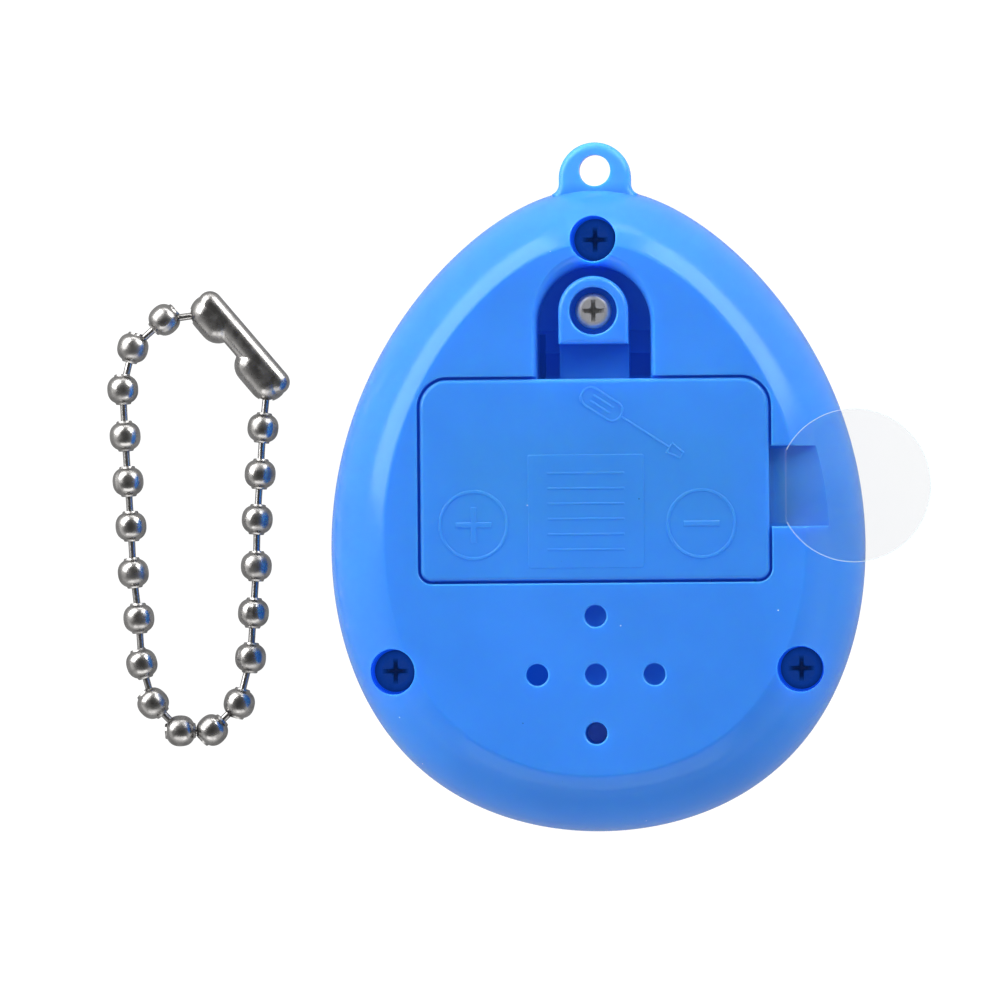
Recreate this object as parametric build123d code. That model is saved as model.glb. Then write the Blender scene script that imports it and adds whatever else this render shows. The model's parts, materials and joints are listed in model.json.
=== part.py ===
from build123d import *

import math
import os

# Virtual pet keychain: an egg-shaped electronic toy lying on its face, with its ball chain beside it.
# Millimetres. The origin is in the middle of the egg, on the plane that the front bezel rests on.
# +Z points out of the back of the case, +Y towards the key loop, +X to the right seen from the back.

# Egg outline, seen from the back
EGG_HALF_LENGTH = 24.6
EGG_HALF_WIDTH = 20.3
EGG_TAPER = 0.115
EGG_TIP_TAPER = 0.08
QUARTER_STEPS = 6

# Heights of the case
FRONT_Z = 0.8
PARTING_Z = 7.8
BACK_Z = 16.0
SHOULDER_WIDTH = 4.4
SHOULDER_ANGLES = (0, 14, 28, 42, 56, 70)
WALL = 1.4
LIP_HEIGHT = 0.9
LIP_INSET = 0.72
FIT_GAP = 0.1

# How far joined solids and cutters run past each other
OVERLAP = 0.1

# Battery door, its recess and the lug that its screw goes through
DOOR_WIDTH = 26.5
DOOR_HEIGHT = 15.3
DOOR_CENTRE_Y = 2.3
DOOR_THICKNESS = 1.0
DOOR_GROOVE = 0.2
DOOR_TOP_RADIUS = 2.1
DOOR_BOTTOM_RADIUS = 0.85
DOOR_BOTTOM_Y = DOOR_CENTRE_Y - DOOR_HEIGHT / 2
DOOR_TOP_Y = DOOR_CENTRE_Y + DOOR_HEIGHT / 2
DOOR_LOW_Z = BACK_Z - DOOR_THICKNESS
LUG_Y = 15.1
LUG_RADIUS = 2.65
LUG_LOW_Z = 13.2
LUG_END_Y = 12.6
LUG_HOLE_RADIUS = 1.15
LUG_COUNTERBORE_RADIUS = 1.8
LUG_SEAT_Z = 14.6
DOOR_POCKET_SIZE = (20.6, 6.4)
DOOR_POCKET_HIGH_Z = DOOR_LOW_Z + 0.35

# Bridge that carries the lug, low in the recess, and the slot for it in the bay wall
BRIDGE_LOW_Y = DOOR_TOP_Y - 1.1
BRIDGE_HIGH_Y = 12.8
BRIDGE_LOW_Z = 12.25
BRIDGE_HIGH_Z = 13.45
BRIDGE_SIDE_GAP = 0.35
BRIDGE_SLOT_LENGTH = 3.2
BRIDGE_SLOT_Y = DOOR_TOP_Y - 0.3

# Tongues at the bottom of the door and their pockets in the shell
TONGUE_WIDTH = 3.0
TONGUE_REACH = 0.8
TONGUE_DEPTH = 1.2
TONGUE_HIGH_Z = DOOR_LOW_Z - 0.4
TONGUE_X = 10.5
TONGUE_POCKET_SIZE = (3.4, 3.4)
TONGUE_POCKET_Y = DOOR_BOTTOM_Y + 0.5
TONGUE_POCKET_LOW_Z = DOOR_LOW_Z - 1.7

# Arched recess round the lug
RECESS_RADIUS = 4.3
RECESS_CENTRE_Y = 14.2
RECESS_FLOOR_Z = 12.0
FLOOR_THICKNESS = 1.0
RECESS_WALL = 1.0
VENT_X = -4.05
VENT_Y = 11.7
VENT_SIZE = (0.5, 3.2)

# Battery bay and cells
CELL_RADIUS = 5.8
CELL_HEIGHT = 5.4
CELL_X = 6.0
CELL_HIGH_Z = 14.8
CELL_LOW_Z = CELL_HIGH_Z - CELL_HEIGHT
BAY_WIDTH = 24.3
BAY_HEIGHT = 12.2
BAY_RADIUS = 1.5
BAY_FLOOR_Z = 8.6
BAY_WALL = 1.9

# Sprung contacts under the cells, and the plate under the door
CONTACT_SIZE = (5.4, 4.0)
CONTACT_THICKNESS = 0.3
CONTACT_X = CELL_X + 1.2
CONTACT_BUMP_RADIUS = 1.5
CONTACT_LEG_X = CELL_X + 3.6
CONTACT_LEG_WIDTH = 2.0
CONTACT_SLOT_SIZE = (0.6, 2.6)
DOOR_PLATE_SIZE = (20.0, 5.8)
DOOR_PLATE_LOW_Z = DOOR_LOW_Z + 0.18
DOOR_PLATE_PAD_RADIUS = 1.4

# Finger notch and the clear insulating tab that leaves the case through it
NOTCH_Y = 1.7
NOTCH_WIDTH = 6.1
NOTCH_LENGTH = 8.0
NOTCH_FLOOR_Z = 14.74
TAB_NECK_WIDTH = 5.7
TAB_THICKNESS = 0.1
TAB_LOW_Z = 14.82
TAB_HIGH_Z = 16.04
TAB_INNER_X = 4.0
TAB_GRIP_X = 19.7
TAB_GRIP_RADIUS = 5.83
TAB_RISE_X = (DOOR_WIDTH / 2 + 0.2, DOOR_WIDTH / 2 + 1.5)
TAB_BEND_RADIUS = 0.5

# Case screws in their wells
CASE_SCREW_PLACES = ((0, 20.6), (-15.5, -12.2), (15.5, -12.2))
WELL_RADIUS = 1.75
WELL_FLOOR_Z = 8.9
REAR_BOSS_RADIUS = 2.6
FRONT_BOSS_RADIUS = 2.4
CASE_SCREW_HEAD_RADIUS = 1.6
CASE_SCREW_HEAD_HEIGHT = 1.2
CASE_SCREW_SHANK_RADIUS = 0.9
CASE_SCREW_TIP_Z = 3.2
CASE_SCREW_RECESS = (0.95, 0.36, 0.7)

# Door screw
DOOR_SCREW_HEAD_RADIUS = 1.32
DOOR_SCREW_HEAD_HEIGHT = 0.9
DOOR_SCREW_SHANK_RADIUS = 0.8
DOOR_SCREW_TIP_Z = 10.7
DOOR_SCREW_RECESS = (0.85, 0.34, 0.6)
DOOR_BOSS_RADIUS = 2.0
DOOR_BOSS_HIGH_Z = 13.0

# Five holes in a plus under the door: two go through, three are blind
HOLE_RADIUS = 0.83
HOLE_SPACING = 4.45
HOLES_Y = -12.5
BLIND_DEPTH = 0.9
RESET_PIN_RADIUS = 0.72
RESET_PIN_HIGH_Z = 13.2
RESET_PIN_COLLAR = (1.3, 7.2, 8.2)
RESET_GUIDE_RADIUS = 1.6

# Key loop at the top of the case
LOOP_RADIUS = 2.75
LOOP_Y = 25.3
LOOP_HOLE_Y = 25.9
LOOP_HOLE_RADIUS = 1.2
LOOP_THICKNESS = 2.4
LOOP_FILLET = 0.8
LOOP_FILLET_Y = 24.86
LOOP_NECK_LENGTH = 2.6
LOOP_WEB_SIZE = (0.8, 1.4)
LOOP_WEB_X = LOOP_RADIUS + 0.1

# Screen at the front
SCREEN_Y = 2.8
BEZEL_SIZE = (25.0, 23.0)
BEZEL_RADIUS = 6.5
BEZEL_CHAMFER = 0.25
WINDOW_OPENING = (18.6, 16.6)
WINDOW_RADIUS = 3.4
LENS_SIZE = (20.0, 18.0)
LENS_RADIUS = 4.0
SKIRT_SIZE = (21.4, 19.4)
SKIRT_RADIUS = 4.7
MASK_SIZE = (19.8, 17.8)
MASK_RADIUS = 3.9
LENS_LOW_Z = 0.6
LENS_HIGH_Z = 1.6
LCD_SIZE = (18.0, 16.0)
LCD_LOW_Z = 2.3
LCD_HIGH_Z = 3.9
LCD_FRAME_SIZE = (21.0, 19.0)
PICTURE_SIZE = (15.0, 13.6)
ZEBRA_SIZE = (15.6, 1.2)
ZEBRA_SPREAD = 6.9

# Circuit board
BOARD_LOW_Z = 4.6
BOARD_HIGH_Z = 5.6
BOARD_INSET = 3.0
BOARD_SCREW_PLACES = ((-14, -3), (14, -3), (-6.5, 16.5), (6.5, 16.5))
BOARD_SCREW_HEAD_RADIUS = 1.3
BOARD_SCREW_HEAD_HEIGHT = 0.7
BOARD_SCREW_SHANK_RADIUS = 0.75
BOARD_SCREW_LENGTH = 1.7
BOARD_SCREW_RECESS = (0.8, 0.3, 0.4)
BOARD_POST_RADIUS = 1.5
CHIP_PLACE = (0, 3)
CHIP_COVER_SIZE = (4.0, 1.3)
CAPACITOR_PLACES = ((-7, 9), (-5, 9), (6, 10), (8.4, 7))
CAPACITOR_SIZE = (0.8, 1.6, 0.8)
CRYSTAL_PLACE = (8.5, -8.6)
CRYSTAL_RADIUS = 0.95
CRYSTAL_LENGTH = 6.0

# Buttons on the front
BUTTON_PLACES = {"left": (-8.6, -11.3), "middle": (0, -14.6), "right": (8.6, -11.3)}
BUTTON_RADIUS = 2.6
BUTTON_FLANGE_RADIUS = 3.1
BUTTON_FACE_Z = 0.3
BUTTON_FOOT_Z = 3.0
BUTTON_FLANGE_THICKNESS = 0.7
KEYPAD_LOW_Z = 3.78
KEYPAD_DOME_RADIUS = 3.0
KEYPAD_BAR_SIZE = (17.2, 3.6)
KEYPAD_BAR_Y = -12.2

# Buzzer behind the left hole
BUZZER_X = -6.5
BUZZER_Y = -12.3
BUZZER_RADIUS = 5.0
BUZZER_LOW_Z = 13.2
BUZZER_THICKNESS = 0.2
BUZZER_CERAMIC_RADIUS = 3.6
BUZZER_RING_RADII = (4.9, 4.0)
BUZZER_WIRE_RADIUS = 0.3
BUZZER_WIRES_X = (BUZZER_X - 4.3, BUZZER_X - 2.5)

# Ball chain, lying on the same surface as the case
BEAD_RADIUS = 1.2
BEAD_WALL = 0.22
PIN_RADIUS = 0.29
PIN_HEAD_RADIUS = 0.55
PIN_HEAD_REACH = 0.55
PIN_HEAD_THICKNESS = 0.17
PIN_HOLE_RADIUS = 0.31
SWING_HOLE_RADIUS = 0.46
CHAIN_Z = BEAD_RADIUS
BEAD_PLACES = (
    (-30.1, 15.35),
    (-33.55, 14.9),
    (-36.0, 12.75),
    (-36.8, 9.55),
    (-36.65, 5.95),
    (-36.45, 2.45),
    (-36.25, -1.0),
    (-36.1, -4.6),
    (-35.7, -8.1),
    (-35.5, -11.6),
    (-34.65, -14.65),
    (-32.55, -16.8),
    (-30.1, -16.75),
    (-28.0, -14.7),
    (-27.1, -11.2),
    (-26.85, -7.75),
    (-26.6, -4.15),
    (-26.5, -0.55),
    (-26.25, 2.95),
    (-26.0, 6.5),
    (-25.6, 10.0),
)
CLASP_LOBE_RADIUS = 1.55
CLASP_WALL = 0.22
CLASP_SPINE_RADIUS = 0.95
CLASP_SLOT_WIDTH = 1.05


def egg_point(angle, across, along):
    """A point on the egg outline and the direction of the outline there."""
    rise = math.sin(angle)
    run = math.cos(angle)
    taper = 1 - EGG_TAPER * rise - EGG_TIP_TAPER * rise**3
    taper_slope = -(EGG_TAPER + 3 * EGG_TIP_TAPER * rise**2) * run
    direction = Vector(across * (run * taper_slope - rise * taper), along * run)
    return Vector(across * run * taper, along * rise), direction.normalized()


def egg_face(inset, z):
    """The egg outline moved inwards by inset, as a face at height z."""
    quarters = []
    for start in range(4):
        angles = [math.pi / 2 * (start + step / QUARTER_STEPS) for step in range(QUARTER_STEPS + 1)]
        spots = [egg_point(a, EGG_HALF_WIDTH - inset, EGG_HALF_LENGTH - inset) for a in angles]
        ends = [spots[0][1], spots[-1][1]]
        quarters.append(Spline([point for point, direction in spots], tangents=ends))
    return Pos(0, 0, z) * make_face(quarters)


def half_egg(edge_z, flat_z, inset):
    """Half of the egg: full width at edge_z, rounding over a shoulder to a flat face at flat_z."""
    last = math.radians(SHOULDER_ANGLES[-1])
    sections = []
    for degrees in SHOULDER_ANGLES:
        angle = math.radians(degrees)
        inward = SHOULDER_WIDTH * (1 - math.cos(angle)) / (1 - math.cos(last))
        height = (flat_z - edge_z) * math.sin(angle) / math.sin(last)
        sections.append(egg_face(inset + inward, edge_z + height))
    return loft(sections)


def prism(face, low_z, high_z):
    """A flat face at z = 0 raised between two heights."""
    return Pos(0, 0, low_z) * extrude(face, high_z - low_z)


def disc(radius, x, y, low_z, high_z):
    """An upright cylinder between two heights."""
    return Pos(x, y, low_z) * extrude(Circle(radius), high_z - low_z)


def block(x_size, y_size, x, y, low_z, high_z):
    """An upright block centred on (x, y) between two heights."""
    return prism(Pos(x, y) * Rectangle(x_size, y_size), low_z, high_z)


def screen_plate(size, radius, low_z, high_z):
    """A rounded rectangle on the screen's centre between two heights."""
    return prism(Pos(0, SCREEN_Y) * RectangleRounded(*size, radius), low_z, high_z)


def cross_recess(recess, x, y, head_top_z):
    """The hollow for a cross-head driver, given as (reach, arm width, depth)."""
    reach, width, depth = recess
    slot = Rectangle(2 * reach, width) + Rectangle(width, 2 * reach)
    return Pos(x, y, head_top_z - depth) * extrude(slot, depth + 1)


def key_loop():
    """The loop at the top, with a small fillet on each side where it meets the egg."""
    plan = Pos(0, LOOP_Y) * Circle(LOOP_RADIUS)
    plan += Pos(0, LOOP_Y - LOOP_NECK_LENGTH / 2) * Rectangle(2 * LOOP_RADIUS, LOOP_NECK_LENGTH)
    for side in (-1, 1):
        web = Pos(side * LOOP_WEB_X, LOOP_FILLET_Y - LOOP_WEB_SIZE[1] / 2) * Rectangle(*LOOP_WEB_SIZE)
        plan += web - Pos(side * (LOOP_RADIUS + LOOP_FILLET), LOOP_FILLET_Y) * Circle(LOOP_FILLET)
    return prism(plan, PARTING_Z, PARTING_Z + LOOP_THICKNESS)


def arch_face(margin):
    """The plan of the arched recess, widened by margin."""
    radius = RECESS_RADIUS + margin
    low_y = DOOR_TOP_Y - 0.5
    straight = Pos(0, (low_y + RECESS_CENTRE_Y) / 2) * Rectangle(2 * radius, RECESS_CENTRE_Y - low_y)
    return straight + Pos(0, RECESS_CENTRE_Y) * Circle(radius)


def door_plan(margin):
    """The plan of the battery door, widened by margin."""
    plan = Pos(0, DOOR_CENTRE_Y) * Rectangle(DOOR_WIDTH + 2 * margin, DOOR_HEIGHT + 2 * margin)
    plan = fillet(plan.vertices().group_by(Axis.Y)[-1], DOOR_TOP_RADIUS + margin)
    return fillet(plan.vertices().group_by(Axis.Y)[0], DOOR_BOTTOM_RADIUS + margin)


def bay_wall_plan(margin):
    """The plan of the battery bay's inside, widened by margin."""
    return Pos(0, DOOR_CENTRE_Y) * RectangleRounded(
        BAY_WIDTH + 2 * margin, BAY_HEIGHT + 2 * margin, BAY_RADIUS + margin
    )


def sound_holes():
    """The centres of the five holes, centre first, then left, right, top and bottom."""
    offsets = ((0, 0), (-1, 0), (1, 0), (0, 1), (0, -1))
    return [(HOLE_SPACING * x, HOLES_Y + HOLE_SPACING * y) for x, y in offsets]


def contact_slots():
    """The slots in the bay floor that the bottom contacts' legs pass through."""
    return [(side * CONTACT_LEG_X, DOOR_CENTRE_Y) for side in (-1, 1)]


def rear_inner_parts(outside):
    """What stands inside the rear shell: bay, recess walls, bosses, guides and the buzzer's ring."""
    high_z = BACK_Z - OVERLAP
    parts = prism(bay_wall_plan(BAY_WALL), BAY_FLOOR_Z - FLOOR_THICKNESS, high_z)
    parts += prism(arch_face(RECESS_WALL), RECESS_FLOOR_Z - FLOOR_THICKNESS, high_z)
    parts += disc(DOOR_BOSS_RADIUS, 0, LUG_Y, PARTING_Z, RECESS_FLOOR_Z)
    for x, y in CASE_SCREW_PLACES:
        parts += disc(REAR_BOSS_RADIUS, x, y, PARTING_Z, BACK_Z) & outside
    reset_x, reset_y = sound_holes()[4]
    parts += disc(RESET_GUIDE_RADIUS, reset_x, reset_y, BAY_FLOOR_Z, high_z)
    ring_outside, ring_inside = BUZZER_RING_RADII
    ring = disc(ring_outside, BUZZER_X, BUZZER_Y, BUZZER_LOW_Z + BUZZER_THICKNESS, BACK_Z - 0.5)
    return parts + (ring - disc(ring_inside, BUZZER_X, BUZZER_Y, BUZZER_LOW_Z, BACK_Z - WALL))


def rear_shell():
    """The back half of the case, with its bay, recess, wells, holes and key loop."""
    above = BACK_Z + 1
    outside = half_egg(PARTING_Z, BACK_Z, 0)
    shell = outside - half_egg(PARTING_Z, BACK_Z - WALL, WALL)
    shell += rear_inner_parts(outside)
    shell += key_loop()

    shell -= prism(door_plan(DOOR_GROOVE), DOOR_LOW_Z, above)
    shell -= prism(bay_wall_plan(0), BAY_FLOOR_Z, above)
    recess = prism(arch_face(0), RECESS_FLOOR_Z, above)
    shell -= recess - disc(DOOR_BOSS_RADIUS, 0, LUG_Y, RECESS_FLOOR_Z, DOOR_BOSS_HIGH_Z)
    bridge_slot = (2 * (LUG_RADIUS + BRIDGE_SIDE_GAP), BRIDGE_SLOT_LENGTH)
    shell -= block(*bridge_slot, 0, BRIDGE_SLOT_Y, BRIDGE_LOW_Z - 0.2, above)
    shell -= disc(DOOR_SCREW_SHANK_RADIUS + 0.05, 0, LUG_Y, PARTING_Z + 1.2, DOOR_BOSS_HIGH_Z + 1)
    shell -= block(*VENT_SIZE, VENT_X, VENT_Y, RECESS_FLOOR_Z - FLOOR_THICKNESS - 1, RECESS_FLOOR_Z + 1)
    notch_x = (BAY_WIDTH + NOTCH_LENGTH) / 2 - OVERLAP
    shell -= block(NOTCH_LENGTH, NOTCH_WIDTH, notch_x, NOTCH_Y, NOTCH_FLOOR_Z, above)
    for side in (-1, 1):
        pocket_z = (TONGUE_POCKET_LOW_Z, DOOR_LOW_Z + OVERLAP)
        shell -= block(*TONGUE_POCKET_SIZE, side * TONGUE_X, TONGUE_POCKET_Y, *pocket_z)
    for x, y in CASE_SCREW_PLACES:
        shell -= disc(WELL_RADIUS, x, y, WELL_FLOOR_Z, above)
        shell -= disc(CASE_SCREW_SHANK_RADIUS + 0.15, x, y, PARTING_Z - 1, WELL_FLOOR_Z)
    centre, left, right, top, bottom = sound_holes()
    for x, y in (centre, right, top):
        shell -= disc(HOLE_RADIUS, x, y, BACK_Z - BLIND_DEPTH, above)
    for x, y in (left, bottom):
        shell -= disc(HOLE_RADIUS, x, y, PARTING_Z, above)
    for x, y in contact_slots():
        shell -= block(*CONTACT_SLOT_SIZE, x, y, BAY_FLOOR_Z - 2, BAY_FLOOR_Z + OVERLAP)
    shell -= disc(LOOP_HOLE_RADIUS, 0, LOOP_HOLE_Y, PARTING_Z - 1, PARTING_Z + LOOP_THICKNESS + 1)
    rebate = prism(egg_face(LIP_INSET - FIT_GAP, 0), PARTING_Z - 1, PARTING_Z + LIP_HEIGHT + FIT_GAP)
    rebate -= prism(egg_face(WALL + 0.05, 0), PARTING_Z - 2, PARTING_Z + 2)
    return shell - rebate


def front_shell():
    """The front half of the case, with its window, button holes, lip and screw posts."""
    outside = half_egg(PARTING_Z, FRONT_Z, 0)
    shell = outside - half_egg(PARTING_Z, FRONT_Z + WALL, WALL)
    lip = prism(egg_face(LIP_INSET, 0), PARTING_Z - 0.4, PARTING_Z + LIP_HEIGHT)
    lip -= prism(egg_face(WALL, 0), PARTING_Z - 1, PARTING_Z + 2)
    shell += lip
    for x, y in CASE_SCREW_PLACES:
        shell += disc(FRONT_BOSS_RADIUS, x, y, FRONT_Z + 0.2, PARTING_Z) & outside
    for x, y in BOARD_SCREW_PLACES:
        shell += disc(BOARD_POST_RADIUS, x, y, FRONT_Z + 0.2, BOARD_LOW_Z) & outside
    for x, y in CASE_SCREW_PLACES:
        shell -= disc(CASE_SCREW_SHANK_RADIUS + 0.03, x, y, CASE_SCREW_TIP_Z - 0.4, PARTING_Z + 2)
    for x, y in BOARD_SCREW_PLACES:
        shell -= disc(BOARD_SCREW_SHANK_RADIUS + 0.03, x, y, BOARD_LOW_Z - 2, BOARD_LOW_Z + 1)
    opening = (SKIRT_SIZE[0] + 2 * FIT_GAP, SKIRT_SIZE[1] + 2 * FIT_GAP)
    shell -= screen_plate(opening, SKIRT_RADIUS + FIT_GAP, 0, FRONT_Z + WALL + OVERLAP)
    for x, y in BUTTON_PLACES.values():
        shell -= disc(BUTTON_RADIUS + 0.12, x, y, 0, FRONT_Z + WALL + OVERLAP)
    return shell


def front_bezel():
    """The raised ring round the window; its flat front is what the toy lies on."""
    bezel = screen_plate(BEZEL_SIZE, BEZEL_RADIUS, 0, FRONT_Z)
    bezel = chamfer(bezel.faces().sort_by(Axis.Z)[0].edges(), BEZEL_CHAMFER)
    bezel += screen_plate(SKIRT_SIZE, SKIRT_RADIUS, FRONT_Z, FRONT_Z + WALL)
    bezel -= screen_plate(WINDOW_OPENING, WINDOW_RADIUS, -1, FRONT_Z + 2)
    pocket = (LENS_SIZE[0] + 2 * FIT_GAP, LENS_SIZE[1] + 2 * FIT_GAP)
    return bezel - screen_plate(pocket, LENS_RADIUS + FIT_GAP, LENS_LOW_Z, FRONT_Z + WALL + 1)


def circuit_board():
    """The board, cut out round the case screws' posts."""
    board = prism(egg_face(BOARD_INSET, 0), BOARD_LOW_Z, BOARD_HIGH_Z)
    for x, y in CASE_SCREW_PLACES:
        board -= disc(FRONT_BOSS_RADIUS + 0.3, x, y, 0, BACK_Z)
    for x, y in BOARD_SCREW_PLACES:
        board -= disc(BOARD_SCREW_SHANK_RADIUS + 0.15, x, y, 0, BACK_Z)
    return board


def board_screw(x, y):
    """One of the small screws that hold the board to the front shell."""
    head_top_z = BOARD_HIGH_Z + BOARD_SCREW_HEAD_HEIGHT
    screw = disc(BOARD_SCREW_HEAD_RADIUS, x, y, BOARD_HIGH_Z, head_top_z)
    screw += disc(BOARD_SCREW_SHANK_RADIUS, x, y, BOARD_LOW_Z - BOARD_SCREW_LENGTH, BOARD_HIGH_Z)
    return screw - cross_recess(BOARD_SCREW_RECESS, x, y, head_top_z)


def case_screw(x, y):
    """A pan-head screw at the bottom of its well."""
    head_top_z = WELL_FLOOR_Z + CASE_SCREW_HEAD_HEIGHT
    head = disc(CASE_SCREW_HEAD_RADIUS, x, y, WELL_FLOOR_Z, head_top_z)
    head = fillet(head.faces().sort_by(Axis.Z)[-1].edges(), 0.45)
    screw = head + disc(CASE_SCREW_SHANK_RADIUS, x, y, CASE_SCREW_TIP_Z, WELL_FLOOR_Z)
    return screw - cross_recess(CASE_SCREW_RECESS, x, y, head_top_z)


def door_screw():
    """The screw that holds the battery door shut through its lug."""
    head_top_z = LUG_SEAT_Z + DOOR_SCREW_HEAD_HEIGHT
    head = disc(DOOR_SCREW_HEAD_RADIUS, 0, LUG_Y, LUG_SEAT_Z, head_top_z)
    head = fillet(head.faces().sort_by(Axis.Z)[-1].edges(), 0.4)
    screw = head + disc(DOOR_SCREW_SHANK_RADIUS, 0, LUG_Y, DOOR_SCREW_TIP_Z, LUG_SEAT_Z)
    return screw - cross_recess(DOOR_SCREW_RECESS, 0, LUG_Y, head_top_z)


def door_lug():
    """The lug with the door screw's hole and counterbore."""
    lug = disc(LUG_RADIUS, 0, LUG_Y, LUG_LOW_Z, BACK_Z)
    lug += block(2 * LUG_RADIUS, LUG_Y - LUG_END_Y, 0, (LUG_END_Y + LUG_Y) / 2, LUG_LOW_Z, BACK_Z)
    lug = fillet(lug.faces().sort_by(Axis.Z)[-1].edges(), 0.3)
    lug -= disc(LUG_COUNTERBORE_RADIUS, 0, LUG_Y, LUG_SEAT_Z, BACK_Z + 1)
    return lug - disc(LUG_HOLE_RADIUS, 0, LUG_Y, LUG_LOW_Z - 1, BACK_Z)


def battery_door():
    """The door plate, the bridge low under its top edge, the screw lug and two tongues."""
    door = prism(door_plan(0), DOOR_LOW_Z, BACK_Z)
    door = fillet(door.faces().sort_by(Axis.Z)[-1].edges(), 0.3)
    door -= block(*DOOR_POCKET_SIZE, 0, DOOR_CENTRE_Y, DOOR_LOW_Z - 1, DOOR_POCKET_HIGH_Z)
    door += door_lug()
    bridge_length = BRIDGE_HIGH_Y - BRIDGE_LOW_Y
    bridge_y = (BRIDGE_HIGH_Y + BRIDGE_LOW_Y) / 2
    door += block(2 * LUG_RADIUS, bridge_length, 0, bridge_y, BRIDGE_LOW_Z, BRIDGE_HIGH_Z)
    door += block(2 * LUG_RADIUS, 1.0, 0, BRIDGE_LOW_Y + 0.5, BRIDGE_HIGH_Z, DOOR_LOW_Z)
    tongue_low_z = DOOR_LOW_Z - TONGUE_DEPTH
    toe_length = TONGUE_REACH + OVERLAP
    toe_y = DOOR_BOTTOM_Y + OVERLAP - toe_length / 2
    for side in (-1, 1):
        tongue_x = side * TONGUE_X
        door += block(TONGUE_WIDTH, 1.0, tongue_x, DOOR_BOTTOM_Y + 0.5, tongue_low_z, DOOR_LOW_Z)
        door += block(TONGUE_WIDTH, toe_length, tongue_x, toe_y, tongue_low_z, TONGUE_HIGH_Z)
    return door


def door_contact_plate():
    """The metal plate under the door that joins the tops of the two cells."""
    low_z = DOOR_PLATE_LOW_Z
    plate = block(*DOOR_PLATE_SIZE, 0, DOOR_CENTRE_Y, low_z, DOOR_POCKET_HIGH_Z)
    plate += disc(DOOR_PLATE_PAD_RADIUS, -CELL_X, DOOR_CENTRE_Y, CELL_HIGH_Z, low_z)
    return plate + disc(DOOR_PLATE_PAD_RADIUS, CELL_X, DOOR_CENTRE_Y, TAB_LOW_Z + TAB_THICKNESS, low_z)


def button_cell(x, cap_up):
    """A button cell: a can with a smaller cap, the cap on top or underneath."""
    step = 0.5
    can_low_z = CELL_LOW_Z if cap_up else CELL_LOW_Z + step
    can = disc(CELL_RADIUS, x, DOOR_CENTRE_Y, can_low_z, can_low_z + CELL_HEIGHT - step)
    can = fillet(can.edges(), 0.25)
    cap_low_z = CELL_HIGH_Z - step - 0.3 if cap_up else CELL_LOW_Z
    return can + disc(CELL_RADIUS - 1, x, DOOR_CENTRE_Y, cap_low_z, cap_low_z + step + 0.3)


def bottom_contact(side):
    """A sprung contact under one cell, with its leg down to the board."""
    plate_high_z = BAY_FLOOR_Z + CONTACT_THICKNESS
    contact = block(*CONTACT_SIZE, side * CONTACT_X, DOOR_CENTRE_Y, BAY_FLOOR_Z, plate_high_z)
    contact += disc(CONTACT_BUMP_RADIUS, side * CELL_X, DOOR_CENTRE_Y, plate_high_z, CELL_LOW_Z)
    leg = (CONTACT_THICKNESS, CONTACT_LEG_WIDTH)
    return contact + block(*leg, side * CONTACT_LEG_X, DOOR_CENTRE_Y, BOARD_HIGH_Z, BAY_FLOOR_Z + OVERLAP)


def pull_tab():
    """The clear tab: a flat neck over the right cell, a rise in the notch and a round grip."""
    profile = FilletPolyline(
        (TAB_INNER_X, TAB_LOW_Z),
        (TAB_RISE_X[0], TAB_LOW_Z),
        (TAB_RISE_X[1], TAB_HIGH_Z),
        (TAB_GRIP_X + TAB_GRIP_RADIUS + 1, TAB_HIGH_Z + 0.1),
        radius=TAB_BEND_RADIUS,
    )
    section = make_face(offset(profile, TAB_THICKNESS, side=Side.LEFT).edges())
    sheet_width = 4 * TAB_GRIP_RADIUS
    sheet = extrude(Pos(0, sheet_width / 2, 0) * (Plane.XZ * section), sheet_width, dir=(0, -1, 0))
    neck_end_x = TAB_GRIP_X - 1
    neck_middle_x = (TAB_INNER_X + neck_end_x) / 2
    plan = Pos(neck_middle_x, NOTCH_Y) * Rectangle(neck_end_x - TAB_INNER_X, TAB_NECK_WIDTH)
    plan += Pos(TAB_GRIP_X, NOTCH_Y) * Circle(TAB_GRIP_RADIUS)
    return sheet & prism(plan, 0, 2 * BACK_Z)


def front_button(x, y):
    """A round button with a flange that keeps it in the front shell."""
    cap = disc(BUTTON_RADIUS, x, y, BUTTON_FACE_Z, BUTTON_FOOT_Z)
    cap = fillet(cap.faces().sort_by(Axis.Z)[0].edges(), 0.35)
    flange_low_z = BUTTON_FOOT_Z - BUTTON_FLANGE_THICKNESS
    return cap + disc(BUTTON_FLANGE_RADIUS, x, y, flange_low_z, BUTTON_FOOT_Z)


def keypad():
    """The rubber pad between the buttons and the board."""
    pad = block(*KEYPAD_BAR_SIZE, 0, KEYPAD_BAR_Y, KEYPAD_LOW_Z + 0.4, BOARD_LOW_Z)
    for x, y in BUTTON_PLACES.values():
        pad += disc(KEYPAD_DOME_RADIUS, x, y, KEYPAD_LOW_Z, BOARD_LOW_Z)
    return pad


def lcd_frame():
    """The frame that holds the display glass against the board."""
    frame = screen_plate(LCD_FRAME_SIZE, 1.5, LCD_LOW_Z, BOARD_LOW_Z)
    return frame - screen_plate((LCD_SIZE[0] + 2 * FIT_GAP, LCD_SIZE[1] + 2 * FIT_GAP), 0.3, 0, BACK_Z)


def zebra_strip(side):
    """A rubber connector strip along one edge of the display glass."""
    return block(*ZEBRA_SIZE, 0, SCREEN_Y + side * ZEBRA_SPREAD, LCD_HIGH_Z, BOARD_LOW_Z)


def screen_mask():
    """The printed card behind the window, open over the picture."""
    mask = screen_plate(MASK_SIZE, MASK_RADIUS, LENS_HIGH_Z + 0.1, LENS_HIGH_Z + 0.4)
    return mask - screen_plate(PICTURE_SIZE, 1.0, 0, BACK_Z)


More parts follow.
